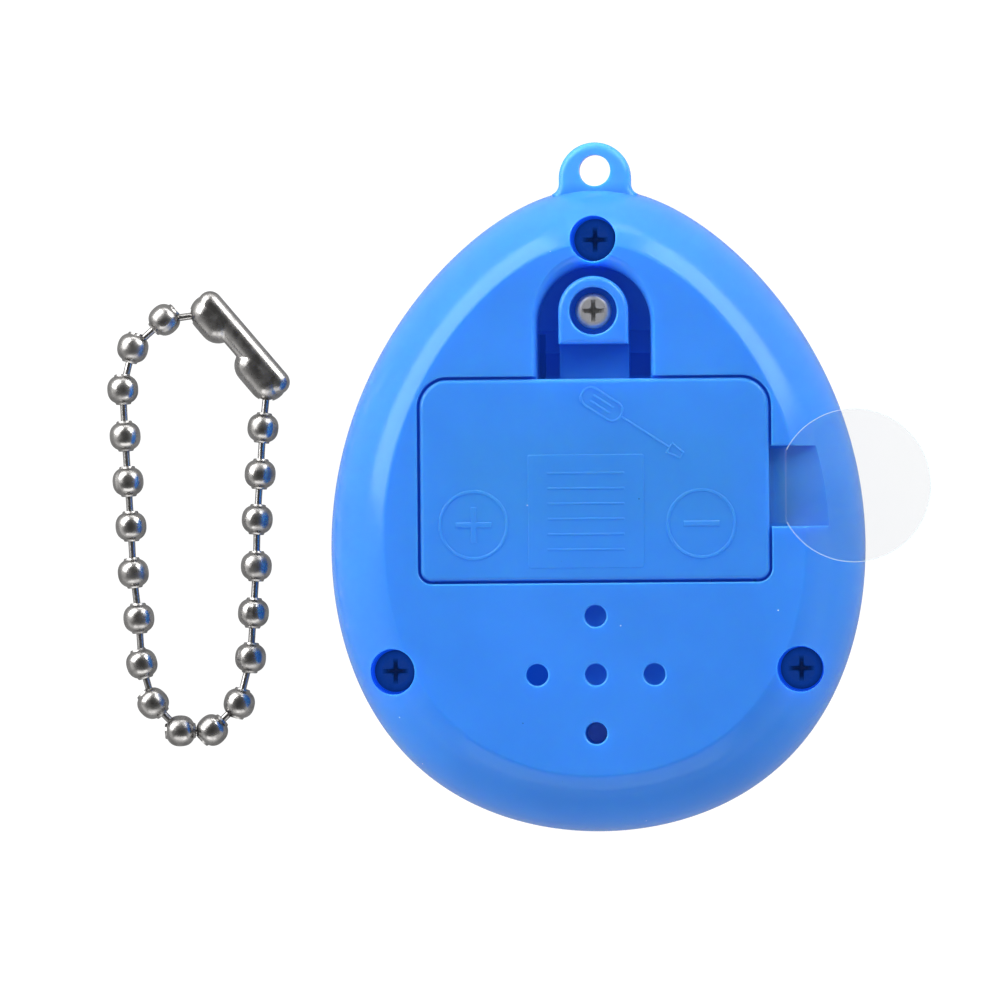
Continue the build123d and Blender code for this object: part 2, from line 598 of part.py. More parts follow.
def chip_cover():
    """The rounded resin cover over the chip."""
    radius, height = CHIP_COVER_SIZE
    cover = disc(radius, *CHIP_PLACE, BOARD_HIGH_Z, BOARD_HIGH_Z + height)
    return fillet(cover.faces().sort_by(Axis.Z)[-1].edges(), 1.1)


def chip_capacitors():
    """Four small capacitors on the board."""
    width, length, height = CAPACITOR_SIZE
    return [block(width, length, x, y, BOARD_HIGH_Z, BOARD_HIGH_Z + height) for x, y in CAPACITOR_PLACES]


def crystal_can():
    """The clock crystal, lying on the board."""
    can = Rot(0, 90, 0) * Cylinder(CRYSTAL_RADIUS, CRYSTAL_LENGTH)
    return fillet((Pos(*CRYSTAL_PLACE, BOARD_HIGH_Z + CRYSTAL_RADIUS) * can).edges(), 0.2)


def buzzer_wires():
    """Two short wires straight down to the board, one from the disc and one from the ceramic."""
    ends = (BUZZER_LOW_Z, BUZZER_LOW_Z - BUZZER_THICKNESS)
    places = zip(BUZZER_WIRES_X, ends)
    return [disc(BUZZER_WIRE_RADIUS, x, BUZZER_Y, BOARD_HIGH_Z, end) for x, end in places]


def reset_plunger():
    """The pin under the bottom hole that a pencil tip pushes to reset the toy."""
    x, y = sound_holes()[4]
    collar_radius, collar_low_z, collar_high_z = RESET_PIN_COLLAR
    pin = disc(RESET_PIN_RADIUS, x, y, BOARD_HIGH_Z + 0.35, RESET_PIN_HIGH_Z)
    return pin + disc(collar_radius, x, y, collar_low_z, collar_high_z)


def rod(start, end, radius):
    """A straight round rod from one point to another."""
    direction = end - start
    plane = Plane(origin=start, z_dir=direction)
    return plane * (Pos(0, 0, direction.length / 2) * Cylinder(radius, direction.length))


def bead(index):
    """A hollow bead with a hole for its own pin and a wider one for the pin before it."""
    centre = BEADS[index]
    along = BEADS[index + 1] - centre if index + 1 < len(BEADS) else centre - BEADS[index - 1]
    # The spheres' seam is turned a quarter away from both holes
    seam_turn = math.degrees(math.atan2(along.Y, along.X)) + 90
    ball = Sphere(BEAD_RADIUS) - Sphere(BEAD_RADIUS - BEAD_WALL)
    ball = Pos(*centre) * Rot(0, 0, seam_turn) * ball
    if index + 1 < len(BEADS):
        ball -= rod(centre, BEADS[index + 1], PIN_HOLE_RADIUS)
    if index > 0:
        ball -= rod(centre, BEADS[index - 1], SWING_HOLE_RADIUS)
    return ball


def pin(index):
    """The pin between two beads, with a flat head inside each."""
    start = BEADS[index]
    end = BEADS[index + 1]
    along = (end - start).normalized()
    shape = rod(start + along * PIN_HEAD_REACH, end - along * PIN_HEAD_REACH, PIN_RADIUS)
    head_end = PIN_HEAD_REACH + PIN_HEAD_THICKNESS
    shape += rod(start + along * PIN_HEAD_REACH, start + along * head_end, PIN_HEAD_RADIUS)
    return shape + rod(end - along * head_end, end - along * PIN_HEAD_REACH, PIN_HEAD_RADIUS)


def clasp():
    """The connector: two hollow lobes over the end beads, joined by a spine along the outer side."""
    first = BEADS[0]
    last = BEADS[-1]
    along = (last - first).normalized()
    outward = Vector(-along.Y, along.X, 0)
    shift = outward * (CLASP_LOBE_RADIUS - CLASP_SPINE_RADIUS)
    body = rod(first + shift, last + shift, CLASP_SPINE_RADIUS)
    hollow = rod(first + shift, last + shift, CLASP_SPINE_RADIUS - CLASP_WALL)
    for centre in (first, last):
        body += Pos(*centre) * Sphere(CLASP_LOBE_RADIUS)
        hollow += Pos(*centre) * Sphere(CLASP_LOBE_RADIUS - CLASP_WALL)
    body -= hollow
    body -= block(120, 120, 0, 0, -5, 0.06)
    for centre, neighbour in ((first, BEADS[1]), (last, BEADS[-2])):
        direction = (neighbour - centre).normalized()
        slot = Plane(origin=centre, x_dir=direction, z_dir=(0, 0, 1)) * Pos(2, 0, -1)
        body -= slot * Box(4, CLASP_SLOT_WIDTH, 3)
    return body


def group(solids):
    """Several separate solids in one node."""
    return Compound(children=[Solid(piece.solid().wrapped) for piece in solids])


def save(name, shape):
    """Write one node."""
    export_step(shape, f"parts/{name}.step")


BEADS = [Vector(x, y, CHAIN_Z) for x, y in BEAD_PLACES]

os.makedirs("parts", exist_ok=True)

save("rear_shell", rear_shell())
save("front_shell", front_shell())
save("front_bezel", front_bezel())
save("window_lens", screen_plate(LENS_SIZE, LENS_RADIUS, LENS_LOW_Z, LENS_HIGH_Z))
save("screen_mask", screen_mask())
save("lcd_glass", screen_plate(LCD_SIZE, 0.2, LCD_LOW_Z, LCD_HIGH_Z))
save("lcd_frame", lcd_frame())
save("zebra_strips", group([zebra_strip(-1), zebra_strip(1)]))
save("circuit_board", circuit_board())
save("chip_cover", chip_cover())
save("crystal_can", crystal_can())
save("chip_capacitors", group(chip_capacitors()))
save("board_screws", group([board_screw(x, y) for x, y in BOARD_SCREW_PLACES]))
save("keypad_pad", keypad())
for side, (x, y) in BUTTON_PLACES.items():
    save(f"button_{side}", front_button(x, y))
save("reset_plunger", reset_plunger())
buzzer = (BUZZER_X, BUZZER_Y)
save("buzzer_disc", disc(BUZZER_RADIUS, *buzzer, BUZZER_LOW_Z, BUZZER_LOW_Z + BUZZER_THICKNESS))
save("buzzer_ceramic", disc(BUZZER_CERAMIC_RADIUS, *buzzer, BUZZER_LOW_Z - BUZZER_THICKNESS, BUZZER_LOW_Z))
save("buzzer_wires", group(buzzer_wires()))
save("battery_cell_left", button_cell(-CELL_X, cap_up=False))
save("battery_cell_right", button_cell(CELL_X, cap_up=True))
save("contact_negative", bottom_contact(-1))
save("contact_positive", bottom_contact(1))
save("battery_door", battery_door())
save("door_contact_plate", door_contact_plate())
save("battery_door_screw", door_screw())
save("case_screws", group([case_screw(x, y) for x, y in CASE_SCREW_PLACES]))
save("battery_pull_tab", pull_tab())
save("chain_clasp", clasp())
for number in range(1, len(BEADS)):
    save(f"chain_link_{number:02d}", group([bead(number - 1), pin(number - 1)]))
save(f"chain_link_{len(BEADS):02d}", bead(len(BEADS) - 1))
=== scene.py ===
"""Looks of a virtual pet keychain: an egg-shaped toy lying on its face, with its ball chain beside it."""

import json
import math
import random

import bmesh
import bpy
from mathutils import Matrix, Vector


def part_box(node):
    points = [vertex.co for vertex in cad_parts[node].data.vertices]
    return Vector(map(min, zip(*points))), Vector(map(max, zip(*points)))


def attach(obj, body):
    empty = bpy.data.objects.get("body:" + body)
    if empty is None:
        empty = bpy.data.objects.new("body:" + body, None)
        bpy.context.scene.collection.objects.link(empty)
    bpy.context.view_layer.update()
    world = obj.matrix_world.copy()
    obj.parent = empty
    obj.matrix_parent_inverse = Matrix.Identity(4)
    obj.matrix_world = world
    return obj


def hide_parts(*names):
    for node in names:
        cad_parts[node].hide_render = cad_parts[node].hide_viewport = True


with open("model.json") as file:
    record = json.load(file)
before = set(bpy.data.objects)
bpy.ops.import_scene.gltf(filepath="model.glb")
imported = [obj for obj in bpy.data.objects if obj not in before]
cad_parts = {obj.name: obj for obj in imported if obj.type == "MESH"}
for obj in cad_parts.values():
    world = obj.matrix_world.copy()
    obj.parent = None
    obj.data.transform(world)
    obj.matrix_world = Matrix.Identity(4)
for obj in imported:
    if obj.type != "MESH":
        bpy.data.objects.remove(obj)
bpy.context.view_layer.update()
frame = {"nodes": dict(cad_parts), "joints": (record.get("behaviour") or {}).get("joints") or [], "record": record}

# Shapes are worked out in millimetres, and each piece is brought to metres when it is finished.
MM = 0.001

# Egg outline, seen from the back
EGG_HALF_LENGTH = 24.6
EGG_HALF_WIDTH = 20.3
EGG_TAPER = 0.115
EGG_TIP_TAPER = 0.08
EGG_STEPS = 240

# Heights of the case
FRONT_Z = 0.8
PARTING_Z = 7.8
BACK_Z = 16.0
SHOULDER_WIDTH = 4.4
SHOULDER_END = math.radians(70)
SHOULDER_STEPS = 26
WALL = 1.4
SEAM = 0.14

# Battery door, its lug and the recess round them
DOOR_WIDTH = 26.5
DOOR_HEIGHT = 15.3
DOOR_Y = 2.3
DOOR_LOW_Z = 15.0
DOOR_GROOVE = 0.2
DOOR_TOP_RADIUS = 2.1
DOOR_BOTTOM_RADIUS = 0.85
DOOR_ROUNDING = 0.34
DOOR_TOP_Y = DOOR_Y + DOOR_HEIGHT / 2
DOOR_BOTTOM_Y = DOOR_Y - DOOR_HEIGHT / 2
LUG_Y = 15.1
LUG_RADIUS = 2.65
LUG_END_Y = 12.6
LUG_LOW_Z = 13.2
LUG_SEAT_Z = 14.6
BRIDGE_END_Y = 12.8
BRIDGE_LOW_Z = 12.25
BRIDGE_HIGH_Z = 13.45
RECESS_RADIUS = 4.3
RECESS_Y = 14.2
RECESS_FLOOR_Z = 12.0
RECESS_STEPS = ((13.65, 11.6), (11.93, 10.7))
DOOR_BOSS_RADIUS = 2.0
DOOR_BOSS_HIGH_Z = 13.0
VENT_X = -4.05

# Battery bay and the notch that the pull tab leaves through
BAY_SIZE = (24.3, 12.2)
BAY_RADIUS = 1.5
BAY_FLOOR_Z = 8.6
BAY_WALL = 1.9
NOTCH_Y = 1.7
NOTCH_WIDTH = 6.1
NOTCH_FLOOR_Z = 14.74

# Screws and holes
CASE_SCREW_PLACES = ((0, 20.6), (-15.5, -12.2), (15.5, -12.2))
WELL_RADIUS = 1.75
WELL_FLOOR_Z = 8.9
SCREW_CROSS_Z = 9.4
SCREW_FACE_Z = 10.05
CASE_SCREW_TIP_Z = 3.2
DOOR_SCREW_TIP_Z = 10.7
HOLE_RADIUS = 0.83
HOLE_SPACING = 4.45
HOLES_Y = -12.5
BLIND_DEPTH = 0.9

# Key loop
LOOP_RADIUS = 2.75
LOOP_Y = 25.3
LOOP_HOLE_Y = 25.9
LOOP_HOLE_RADIUS = 1.2
LOOP_THICKNESS = 2.4
LOOP_FILLET = 0.8
LOOP_FILLET_Y = 24.86

# Screen and buttons in the front shell
SCREEN_Y = 2.8
SCREEN_OPENING = (21.6, 19.6)
BUTTON_PLACES = ((-8.6, -11.3), (0, -14.6), (8.6, -11.3))
BUTTON_RADIUS = 2.6

# Clear pull tab
TAB_NECK_WIDTH = 5.7
TAB_THICKNESS = 0.1
TAB_INNER_X = 4.0
TAB_LOW_Z = 14.82
TAB_HIGH_Z = 16.04
TAB_RISE = (13.45, 14.75)
TAB_GRIP_X = 19.7
TAB_GRIP_RADIUS = 5.83
# Past this X, the pull tab's round cut rim gets a painted highlight
TAB_RIM_HIGHLIGHT_FROM_X = 14.6

# Ball chain
BEAD_RADIUS = 1.2
PIN_RADIUS = 0.29
SWING_HOLE_RADIUS = 0.45
PIN_HOLE_RADIUS = 0.34
CLASP_LOBE_RADIUS = 1.55
CLASP_SPINE_RADIUS = 0.95
CLASP_SPINE_LIFT = 0.5
CLASP_SLOT_WIDTH = 1.05
CLASP_WALL = 0.15
CLASP_LOBE_STRETCH = (1.1, 1.7)

# Colours that the record doesn't hold: a painted lighter blue on the slender key loop, for light shining through
# it, and painted glow for light that soaks through the shell
LOOP_PAINTED_LIGHT_BLUE = (0.085, 0.36, 0.85)
BLUE_GLOW = (0.002, 0.014, 0.075)
WELL_GLOW = (0.002, 0.04, 0.34)
DISC_GLOW = (0.001, 0.035, 0.26)
SCREW_GLOW = (0.003, 0.03, 0.2)


# ---------------------------------------------------------------------------
# Outlines, as anticlockwise lists of (x, y)


def egg_outline(inset):
    """The egg seen from the back, moved inwards by inset."""
    points = []
    for step in range(EGG_STEPS):
        angle = 2 * math.pi * step / EGG_STEPS
        rise = math.sin(angle)
        taper = 1 - EGG_TAPER * rise - EGG_TIP_TAPER * rise**3
        points.append(((EGG_HALF_WIDTH - inset) * math.cos(angle) * taper, (EGG_HALF_LENGTH - inset) * rise))
    return points


def arc(centre, radius, start, end, steps):
    """Points on an arc, its angles in degrees."""
    points = []
    for step in range(steps + 1):
        angle = math.radians(start + (end - start) * step / steps)
        points.append((centre[0] + radius * math.cos(angle), centre[1] + radius * math.sin(angle)))
    return points


def circle(radius, centre=(0, 0), steps=64):
    return arc(centre, radius, 0, 360, steps)[:-1]


def rounded_outline(width, height, top_radius, bottom_radius, centre=(0, 0)):
    """A rectangle whose top and bottom corners have their own radii."""
    x, y = centre
    points = []
    corners = (
        (1, 1, top_radius, 0),
        (-1, 1, top_radius, 90),
        (-1, -1, bottom_radius, 180),
        (1, -1, bottom_radius, 270),
    )
    for side, end, radius, start in corners:
        middle = (x + side * (width / 2 - radius), y + end * (height / 2 - radius))
        points += arc(middle, radius, start, start + 90, 12)
    return points


def offset_outline(points, distance):
    """An outline moved outwards by distance, with mitred corners."""
    moved = []
    for index, point in enumerate(points):
        here = Vector(point)
        before = here - Vector(points[index - 1])
        after = Vector(points[(index + 1) % len(points)]) - here
        first = Vector((before.y, -before.x)).normalized()
        second = Vector((after.y, -after.x)).normalized()
        middle = (first + second).normalized()
        moved.append(tuple(here + middle * (distance / max(0.5, middle.dot(first)))))
    return moved


def arch_outline(radius, top_extra, side_extra):
    """The recess's plan: straight sides up to a half circle, with more room at the top than at the sides."""
    low_y = DOOR_TOP_Y - 0.5
    points = [(-radius - side_extra, low_y), (radius + side_extra, low_y)]
    for x, y in arc((0, 0), 1, 0, 180, 40):
        reach = radius + side_extra + (top_extra - side_extra) * y * y
        points.append((reach * x, RECESS_Y + reach * y))
    return points


def door_outline(margin=0.0):
    outline = rounded_outline(DOOR_WIDTH, DOOR_HEIGHT, DOOR_TOP_RADIUS, DOOR_BOTTOM_RADIUS, (0, DOOR_Y))
    return offset_outline(outline, margin) if margin else outline


def sound_holes():
    """The five holes: centre, left, right, top and bottom."""
    steps = ((0, 0), (-1, 0), (1, 0), (0, 1), (0, -1))
    return [(HOLE_SPACING * x, HOLES_Y + HOLE_SPACING * y) for x, y in steps]


# ---------------------------------------------------------------------------
# Solids


def new_object(name, mesh):
    piece = bpy.data.objects.new(name, mesh)
    bpy.context.scene.collection.objects.link(piece)
    return piece


def solid(name, bm):
    """An object from a bmesh, its faces turned outwards."""
    bmesh.ops.recalc_face_normals(bm, faces=bm.faces)
    mesh = bpy.data.meshes.new(name)
    bm.to_mesh(mesh)
    bm.free()
    return new_object(name, mesh)


def skin(name, loops):
    """A closed solid through loops of equally many 3-D points, with flat ends."""
    bm = bmesh.new()
    rings = [[bm.verts.new(point) for point in loop] for loop in loops]
    for low, high in zip(rings, rings[1:]):
        for index in range(len(low)):
            after = (index + 1) % len(low)
            bm.faces.new((low[index], low[after], high[after], high[index]))
    bm.faces.new(rings[0])
    bm.faces.new(rings[-1])
    return solid(name, bm)


def tower(name, levels):
    """A solid through (outline, z) levels."""
    return skin(name, [[(x, y, z) for x, y in outline] for outline, z in levels])


def prism(outline, low_z, high_z, name="tool"):
    return tower(name, [(outline, low_z), (outline, high_z)])


def block(x_size, y_size, x, y, low_z, high_z):
    corners = [(x - x_size / 2, y - y_size / 2), (x + x_size / 2, y - y_size / 2)]
    corners += [(x + x_size / 2, y + y_size / 2), (x - x_size / 2, y + y_size / 2)]
    return prism(corners, low_z, high_z)


def rounded_levels(outline, low_z, high_z, rounding, steps=5):
    """Levels of a plate whose top edge is rounded."""
    levels = [(outline, low_z)]
    for step in range(steps + 1):
        angle = math.pi / 2 * step / steps
        inset = rounding * (1 - math.cos(angle))
        levels.append((offset_outline(outline, -inset), high_z - rounding + rounding * math.sin(angle)))
    return levels


def rimmed_cutter(outline, low_z, rim, top_z=BACK_Z):
    """A cutter for a hole whose mouth, at top_z, is rounded by rim."""
    levels = [(outline, low_z), (outline, top_z - rim)]
    for degrees in (25, 50, 72):
        angle = math.radians(degrees)
        wider = offset_outline(outline, rim * (1 - math.cos(angle)))
        levels.append((wider, top_z - rim + rim * math.sin(angle)))
    levels.append((offset_outline(outline, rim * 1.15), top_z + 0.12 * rim))
    levels.append((offset_outline(outline, rim * 1.3), top_z + 2))
    return tower("tool", levels)


def egg_half(edge_z, flat_z, inset, seam=0.0, skirt=0.0):
    """Half of the egg: full width at edge_z, over a shoulder to a flat face at flat_z."""
    way = 1 if flat_z > edge_z else -1
    levels = []
    if skirt:
        levels.append((egg_outline(inset), edge_z - way * skirt))
    if seam:
        levels.append((egg_outline(inset + seam), edge_z))
        levels.append((egg_outline(inset + 0.3 * seam), edge_z + way * 0.3 * seam))
        levels.append((egg_outline(inset), edge_z + way * seam))
    for step in range(SHOULDER_STEPS + 1):
        angle = SHOULDER_END * step / SHOULDER_STEPS
        inward = SHOULDER_WIDTH * (1 - math.cos(angle)) / (1 - math.cos(SHOULDER_END))
        height = (flat_z - edge_z) * math.sin(angle) / math.sin(SHOULDER_END)
        if abs(height) > 1.2 * seam or not seam:
            levels.append((egg_outline(inset + inward), edge_z + height))
    levels[-1] = (egg_outline(inset + SHOULDER_WIDTH - 0.06), flat_z - way * 0.02)
    levels.append((egg_outline(inset + SHOULDER_WIDTH + 0.1), flat_z))
    return tower("egg", levels)


def bake(piece):
    """Apply a piece's modifiers."""
    bpy.context.view_layer.update()
    graph = bpy.context.evaluated_depsgraph_get()
    mesh = bpy.data.meshes.new_from_object(piece.evaluated_get(graph))
    old = piece.data
    piece.modifiers.clear()
    piece.data = mesh
    bpy.data.meshes.remove(old)


def combine(piece, operation, tools):
    """Cut the tools from a piece, or add them to it."""
    for tool in tools:
        step = piece.modifiers.new("combine", "BOOLEAN")
        step.operation = operation
        step.solver = "EXACT"
        step.object = tool
    bake(piece)
    for tool in tools:
        bpy.data.objects.remove(tool)
    return piece


def cut(piece, *tools):
    return combine(piece, "DIFFERENCE", tools)


def join(piece, *tools):
    return combine(piece, "UNION", tools)


def finish_piece(piece, name, body, material, nodes=(), crease=32):
    """Smooth a piece, bring it to metres and hand it to its body."""
    bm = bmesh.new()
    bm.from_mesh(piece.data)
    bmesh.ops.remove_doubles(bm, verts=bm.verts, dist=0.001)
    bmesh.ops.dissolve_degenerate(bm, dist=0.001, edges=bm.edges)
    bm.to_mesh(piece.data)
    bm.free()
    piece.data.shade_smooth()
    piece.data.set_sharp_from_angle(angle=math.radians(crease))
    weighting = piece.modifiers.new("weighting", "WEIGHTED_NORMAL")
    weighting.keep_sharp = True
    bake(piece)
    piece.data.transform(Matrix.Scale(MM, 4))
    piece.name = name
    piece.data.name = name
    piece.data.materials.clear()
    piece.data.materials.append(material)
    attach(piece, body)
    if nodes:
        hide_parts(*nodes)
    return piece


# ---------------------------------------------------------------------------
# Materials


def add(tree, kind, inputs=(), **settings):
    """A node with its settings, its inputs given as values or as sockets to link."""
    node = tree.nodes.new(kind)
    for key, value in settings.items():
        setattr(node, key, value)
    for key, value in dict(inputs).items():
        if isinstance(value, bpy.types.NodeSocket):
            tree.links.new(value, node.inputs[key])
        else:
            node.inputs[key].default_value = value
    return node


def maths(tree, operation, first, second):
    """A sum, product or comparison of two numbers or sockets."""
    return add(tree, "ShaderNodeMath", {0: first, 1: second}, operation=operation).outputs[0]


def coordinate(tree, axis):
    """An object's own X, Y or Z, in metres."""
    place = add(tree, "ShaderNodeTexCoord").outputs["Object"]
    return add(tree, "ShaderNodeSeparateXYZ", {"Vector": place}).outputs[axis]


def ramp(tree, factor, stops):
    """A colour ramp through (position, grey) stops."""
    node = add(tree, "ShaderNodeValToRGB", {"Fac": factor})
    elements = node.color_ramp.elements
    while len(elements) < len(stops):
        elements.new(0.5)
    for element, (position, grey) in zip(elements, stops):
        element.position = position
        element.color = (grey, grey, grey, 1)
    return node.outputs["Color"]


def noise(tree, size, detail=3.0):
    """Noise on the object's own coordinates; size is in millimetres."""
    place = add(tree, "ShaderNodeTexCoord").outputs["Object"]
    node = add(tree, "ShaderNodeTexNoise", {"Vector": place, "Scale": 1 / (size * MM), "Detail": detail})
    return node.outputs["Fac"]


def specks(tree, spacing, radius, share):
    """1 on a share of small round specks, spacing millimetres apart, and 0 elsewhere."""
    place = add(tree, "ShaderNodeTexCoord").outputs["Object"]
    cells = add(tree, "ShaderNodeTexVoronoi", {"Vector": place, "Scale": 1 / (spacing * MM)})
    near = maths(tree, "LESS_THAN", cells.outputs["Distance"], radius / spacing)
    pick = add(tree, "ShaderNodeSeparateColor", {"Color": cells.outputs["Color"]})
    chosen = maths(tree, "LESS_THAN", pick.outputs["Red"], share)
    return maths(tree, "MULTIPLY", near, chosen)


def mixed(tree, factor, first, second):
    """A colour between two colours or sockets."""
    node = add(tree, "ShaderNodeMix", {"Factor": factor}, data_type="RGBA")
    for key, value in ((6, first), (7, second)):
        if isinstance(value, bpy.types.NodeSocket):
            tree.links.new(value, node.inputs[key])
        else:
            node.inputs[key].default_value = (*value[:3], 1)
    return node.outputs[2]


def new_material(name):
    """A material with only a Principled shader and its output."""
    material = bpy.data.materials.new(name)
    material.use_nodes = True
    tree = material.node_tree
    return material, tree, tree.nodes["Principled BSDF"]


def slot_colour(slot):
    """The record's colour of a material slot."""
    entry = next(m for m in frame["record"]["materials"] if m["slot"] == slot)
    return tuple(entry["base_color"][:3])


def scaled(colour, factor):
    return tuple(min(1.0, channel * factor) for channel in colour)


def moulded(slot, roughness, soak=0.0, grain=0.03, dust=0.0, rounding=0.05, gloss=0.5, painted_light_from_y=None):
    """Moulded plastic: cloudy colour, fine grain, dust specks, softened edges, some light inside.

    Where Y passes the given millimetres, and the key loop stands clear of the case, the colour is painted lighter,
    for light shining through the loop.
    """
    material, tree, shader = new_material(slot)
    base = slot_colour(slot)
    clouds = ramp(tree, noise(tree, 9), ((0.3, 0), (0.7, 1)))
    colour = mixed(tree, clouds, scaled(base, 0.94), scaled(base, 1.05))
    if dust:
        light = specks(tree, 1.7, 0.055, dust)
        colour = mixed(tree, light, colour, (0.72, 0.84, 0.95))
        dark = specks(tree, 2.9, 0.06, dust)
        colour = mixed(tree, dark, colour, scaled(base, 0.35))
    # Painted light: the key loop is painted a lighter blue, for light shining through it.
    if painted_light_from_y:
        limits = {1: painted_light_from_y * MM, 2: (painted_light_from_y + 1) * MM}
        painted_light_mask = add(tree, "ShaderNodeMapRange", {"Value": coordinate(tree, "Y"), **limits})
        colour = mixed(tree, painted_light_mask.outputs[0], colour, LOOP_PAINTED_LIGHT_BLUE)
    tree.links.new(colour, shader.inputs["Base Color"])
    handled = noise(tree, 3.5, 8)
    rough = add(tree, "ShaderNodeMapRange", {"Value": handled, 3: roughness * 0.75, 4: roughness * 1.3})
    tree.links.new(rough.outputs[0], shader.inputs["Roughness"])
    shader.inputs["Specular IOR Level"].default_value = gloss
    edges = add(tree, "ShaderNodeBevel", {"Radius": rounding * MM}, samples=4)
    waves = noise(tree, 5, 1)
    grained = noise(tree, 0.22)
    swell = add(
        tree, "ShaderNodeBump",
        {"Strength": 0.35, "Distance": 0.02 * MM, "Height": waves, "Normal": edges.outputs[0]},
    )
    fine = add(
        tree, "ShaderNodeBump",
        {"Strength": grain, "Distance": 0.05 * MM, "Height": grained, "Normal": swell.outputs[0]},
    )
    tree.links.new(fine.outputs[0], shader.inputs["Normal"])
    if soak:
        shader.inputs["Subsurface Weight"].default_value = soak
        shader.inputs["Subsurface Radius"].default_value = (0.3, 0.8, 1.9)
        shader.inputs["Subsurface Scale"].default_value = 1.4 * MM
    return material


def circle_distance(tree, x, y):
    """How far a spot is from an upright line at (x, y), in metres."""
    place = add(tree, "ShaderNodeTexCoord").outputs["Object"]
    flat = add(tree, "ShaderNodeVectorMath", {0: place, 1: (1, 1, 0)}, operation="MULTIPLY")
    ends = {0: flat.outputs[0], 1: (x * MM, y * MM, 0)}
    return add(tree, "ShaderNodeVectorMath", ends, operation="DISTANCE").outputs["Value"]


def glowing(material):
    """A faint light of its own, for what soaks through a translucent shell, mostly into the screw wells."""
    tree = material.node_tree
    shader = tree.nodes["Principled BSDF"]
    colour = (*BLUE_GLOW, 1)
    for x, y in CASE_SCREW_PLACES:
        inside = maths(tree, "LESS_THAN", circle_distance(tree, x, y), (WELL_RADIUS + 0.03) * MM)
        colour = mixed(tree, inside, colour, WELL_GLOW)
    tree.links.new(colour, shader.inputs["Emission Color"])
    shader.inputs["Emission Strength"].default_value = 1
    shader.inputs["Specular Tint"].default_value = (0.6, 0.95, 1, 1)
    return material


def in_blue_light(material, colour, low_z, high_z):
    """The same faint light on a piece deep inside the shell, fading downwards from high_z to low_z."""
    tree = material.node_tree
    shader = tree.nodes["Principled BSDF"]
    limits = {1: low_z * MM, 2: high_z * MM, 3: 0.15}
    share = add(tree, "ShaderNodeMapRange", {"Value": coordinate(tree, "Z"), **limits})
    shader.inputs["Emission Color"].default_value = (*colour, 1)
    tree.links.new(share.outputs[0], shader.inputs["Emission Strength"])
    return material


def metal(slot, roughness, tarnish=0.3, dark=0.3, pits=0.2, metallic=1.0):
    """Plated metal: dull patches, dark tarnish specks and shallow dents."""
    material, tree, shader = new_material(slot)
    base = slot_colour(slot)
    patches = ramp(tree, noise(tree, 0.9, 6), ((0.42, 0), (0.68, 1)))
    colour = mixed(tree, patches, base, scaled(base, 1 - tarnish))
    spots = ramp(tree, noise(tree, 0.16, 4), ((0.64, 0), (0.72, pits)))
    colour = mixed(tree, spots, colour, scaled(base, dark))
    tree.links.new(colour, shader.inputs["Base Color"])
    shader.inputs["Metallic"].default_value = metallic
    rough = add(tree, "ShaderNodeMapRange", {"Value": patches, 3: roughness, 4: roughness * 1.9})
    tree.links.new(rough.outputs[0], shader.inputs["Roughness"])
    dents = add(
        tree, "ShaderNodeBump",
        {"Strength": 0.4, "Distance": 0.02 * MM, "Height": noise(tree, 0.5, 5)},
    )
    tree.links.new(dents.outputs[0], shader.inputs["Normal"])
    return material


def clear(slot, through, haze, roughness, rim=None):
    """A clear sheet: it lets most light through, with a little streaky haze and a gloss.

    A rim (x, y, radius, from_x) is a circle, along which the sheet's cut rim gets a painted highlight past from_x.
    """
    material, tree, shader = new_material(slot)
    shader.inputs["Base Color"].default_value = (0.78, 0.95, 1, 1)
    shader.inputs["Roughness"].default_value = roughness
    haze_and_rim_highlight = ramp(tree, noise(tree, 2.2, 5), ((0.45, haze), (0.75, 2.2 * haze)))
    if rim:
        x, y, radius, from_x = rim
        # Painted highlight: along the round cut rim on the grip side the film is laid whiter, and this is added to
        # the haze.
        limits = {1: (radius - 0.08) * MM, 2: (radius - 0.04) * MM}
        rim_highlight_band = add(tree, "ShaderNodeMapRange", {"Value": circle_distance(tree, x, y), **limits})
        grip = maths(tree, "GREATER_THAN", coordinate(tree, "X"), from_x * MM)
        rim_highlight = maths(tree, "MULTIPLY", rim_highlight_band.outputs[0], grip)
        haze_and_rim_highlight = maths(tree, "MAXIMUM", haze_and_rim_highlight, maths(tree, "MULTIPLY", rim_highlight, 0.3))
    window = add(tree, "ShaderNodeBsdfTransparent", {"Color": (through, through, through, 1)})
    mix = add(tree, "ShaderNodeMixShader", {0: haze_and_rim_highlight, 1: window.outputs[0], 2: shader.outputs[0]})
    gloss = add(tree, "ShaderNodeBsdfGlossy", {"Roughness": roughness, "Color": (1, 1, 1, 1)})
    ripples = add(
        tree, "ShaderNodeBump",
        {"Strength": 0.5, "Distance": 0.03 * MM, "Height": noise(tree, 3.0, 2)},
    )
    tree.links.new(ripples.outputs[0], gloss.inputs["Normal"])
    facing = add(tree, "ShaderNodeLayerWeight", {"Blend": 0.5}).outputs["Facing"]
    steep = maths(tree, "POWER", facing, 5.0)
    shine = add(tree, "ShaderNodeMapRange", {"Value": steep, 3: 0.025, 4: 0.8})
    both = add(tree, "ShaderNodeMixShader", {0: shine.outputs[0], 1: mix.outputs[0], 2: gloss.outputs[0]})
    output = tree.nodes["Material Output"]
    tree.links.new(both.outputs[0], output.inputs["Surface"])
    return material


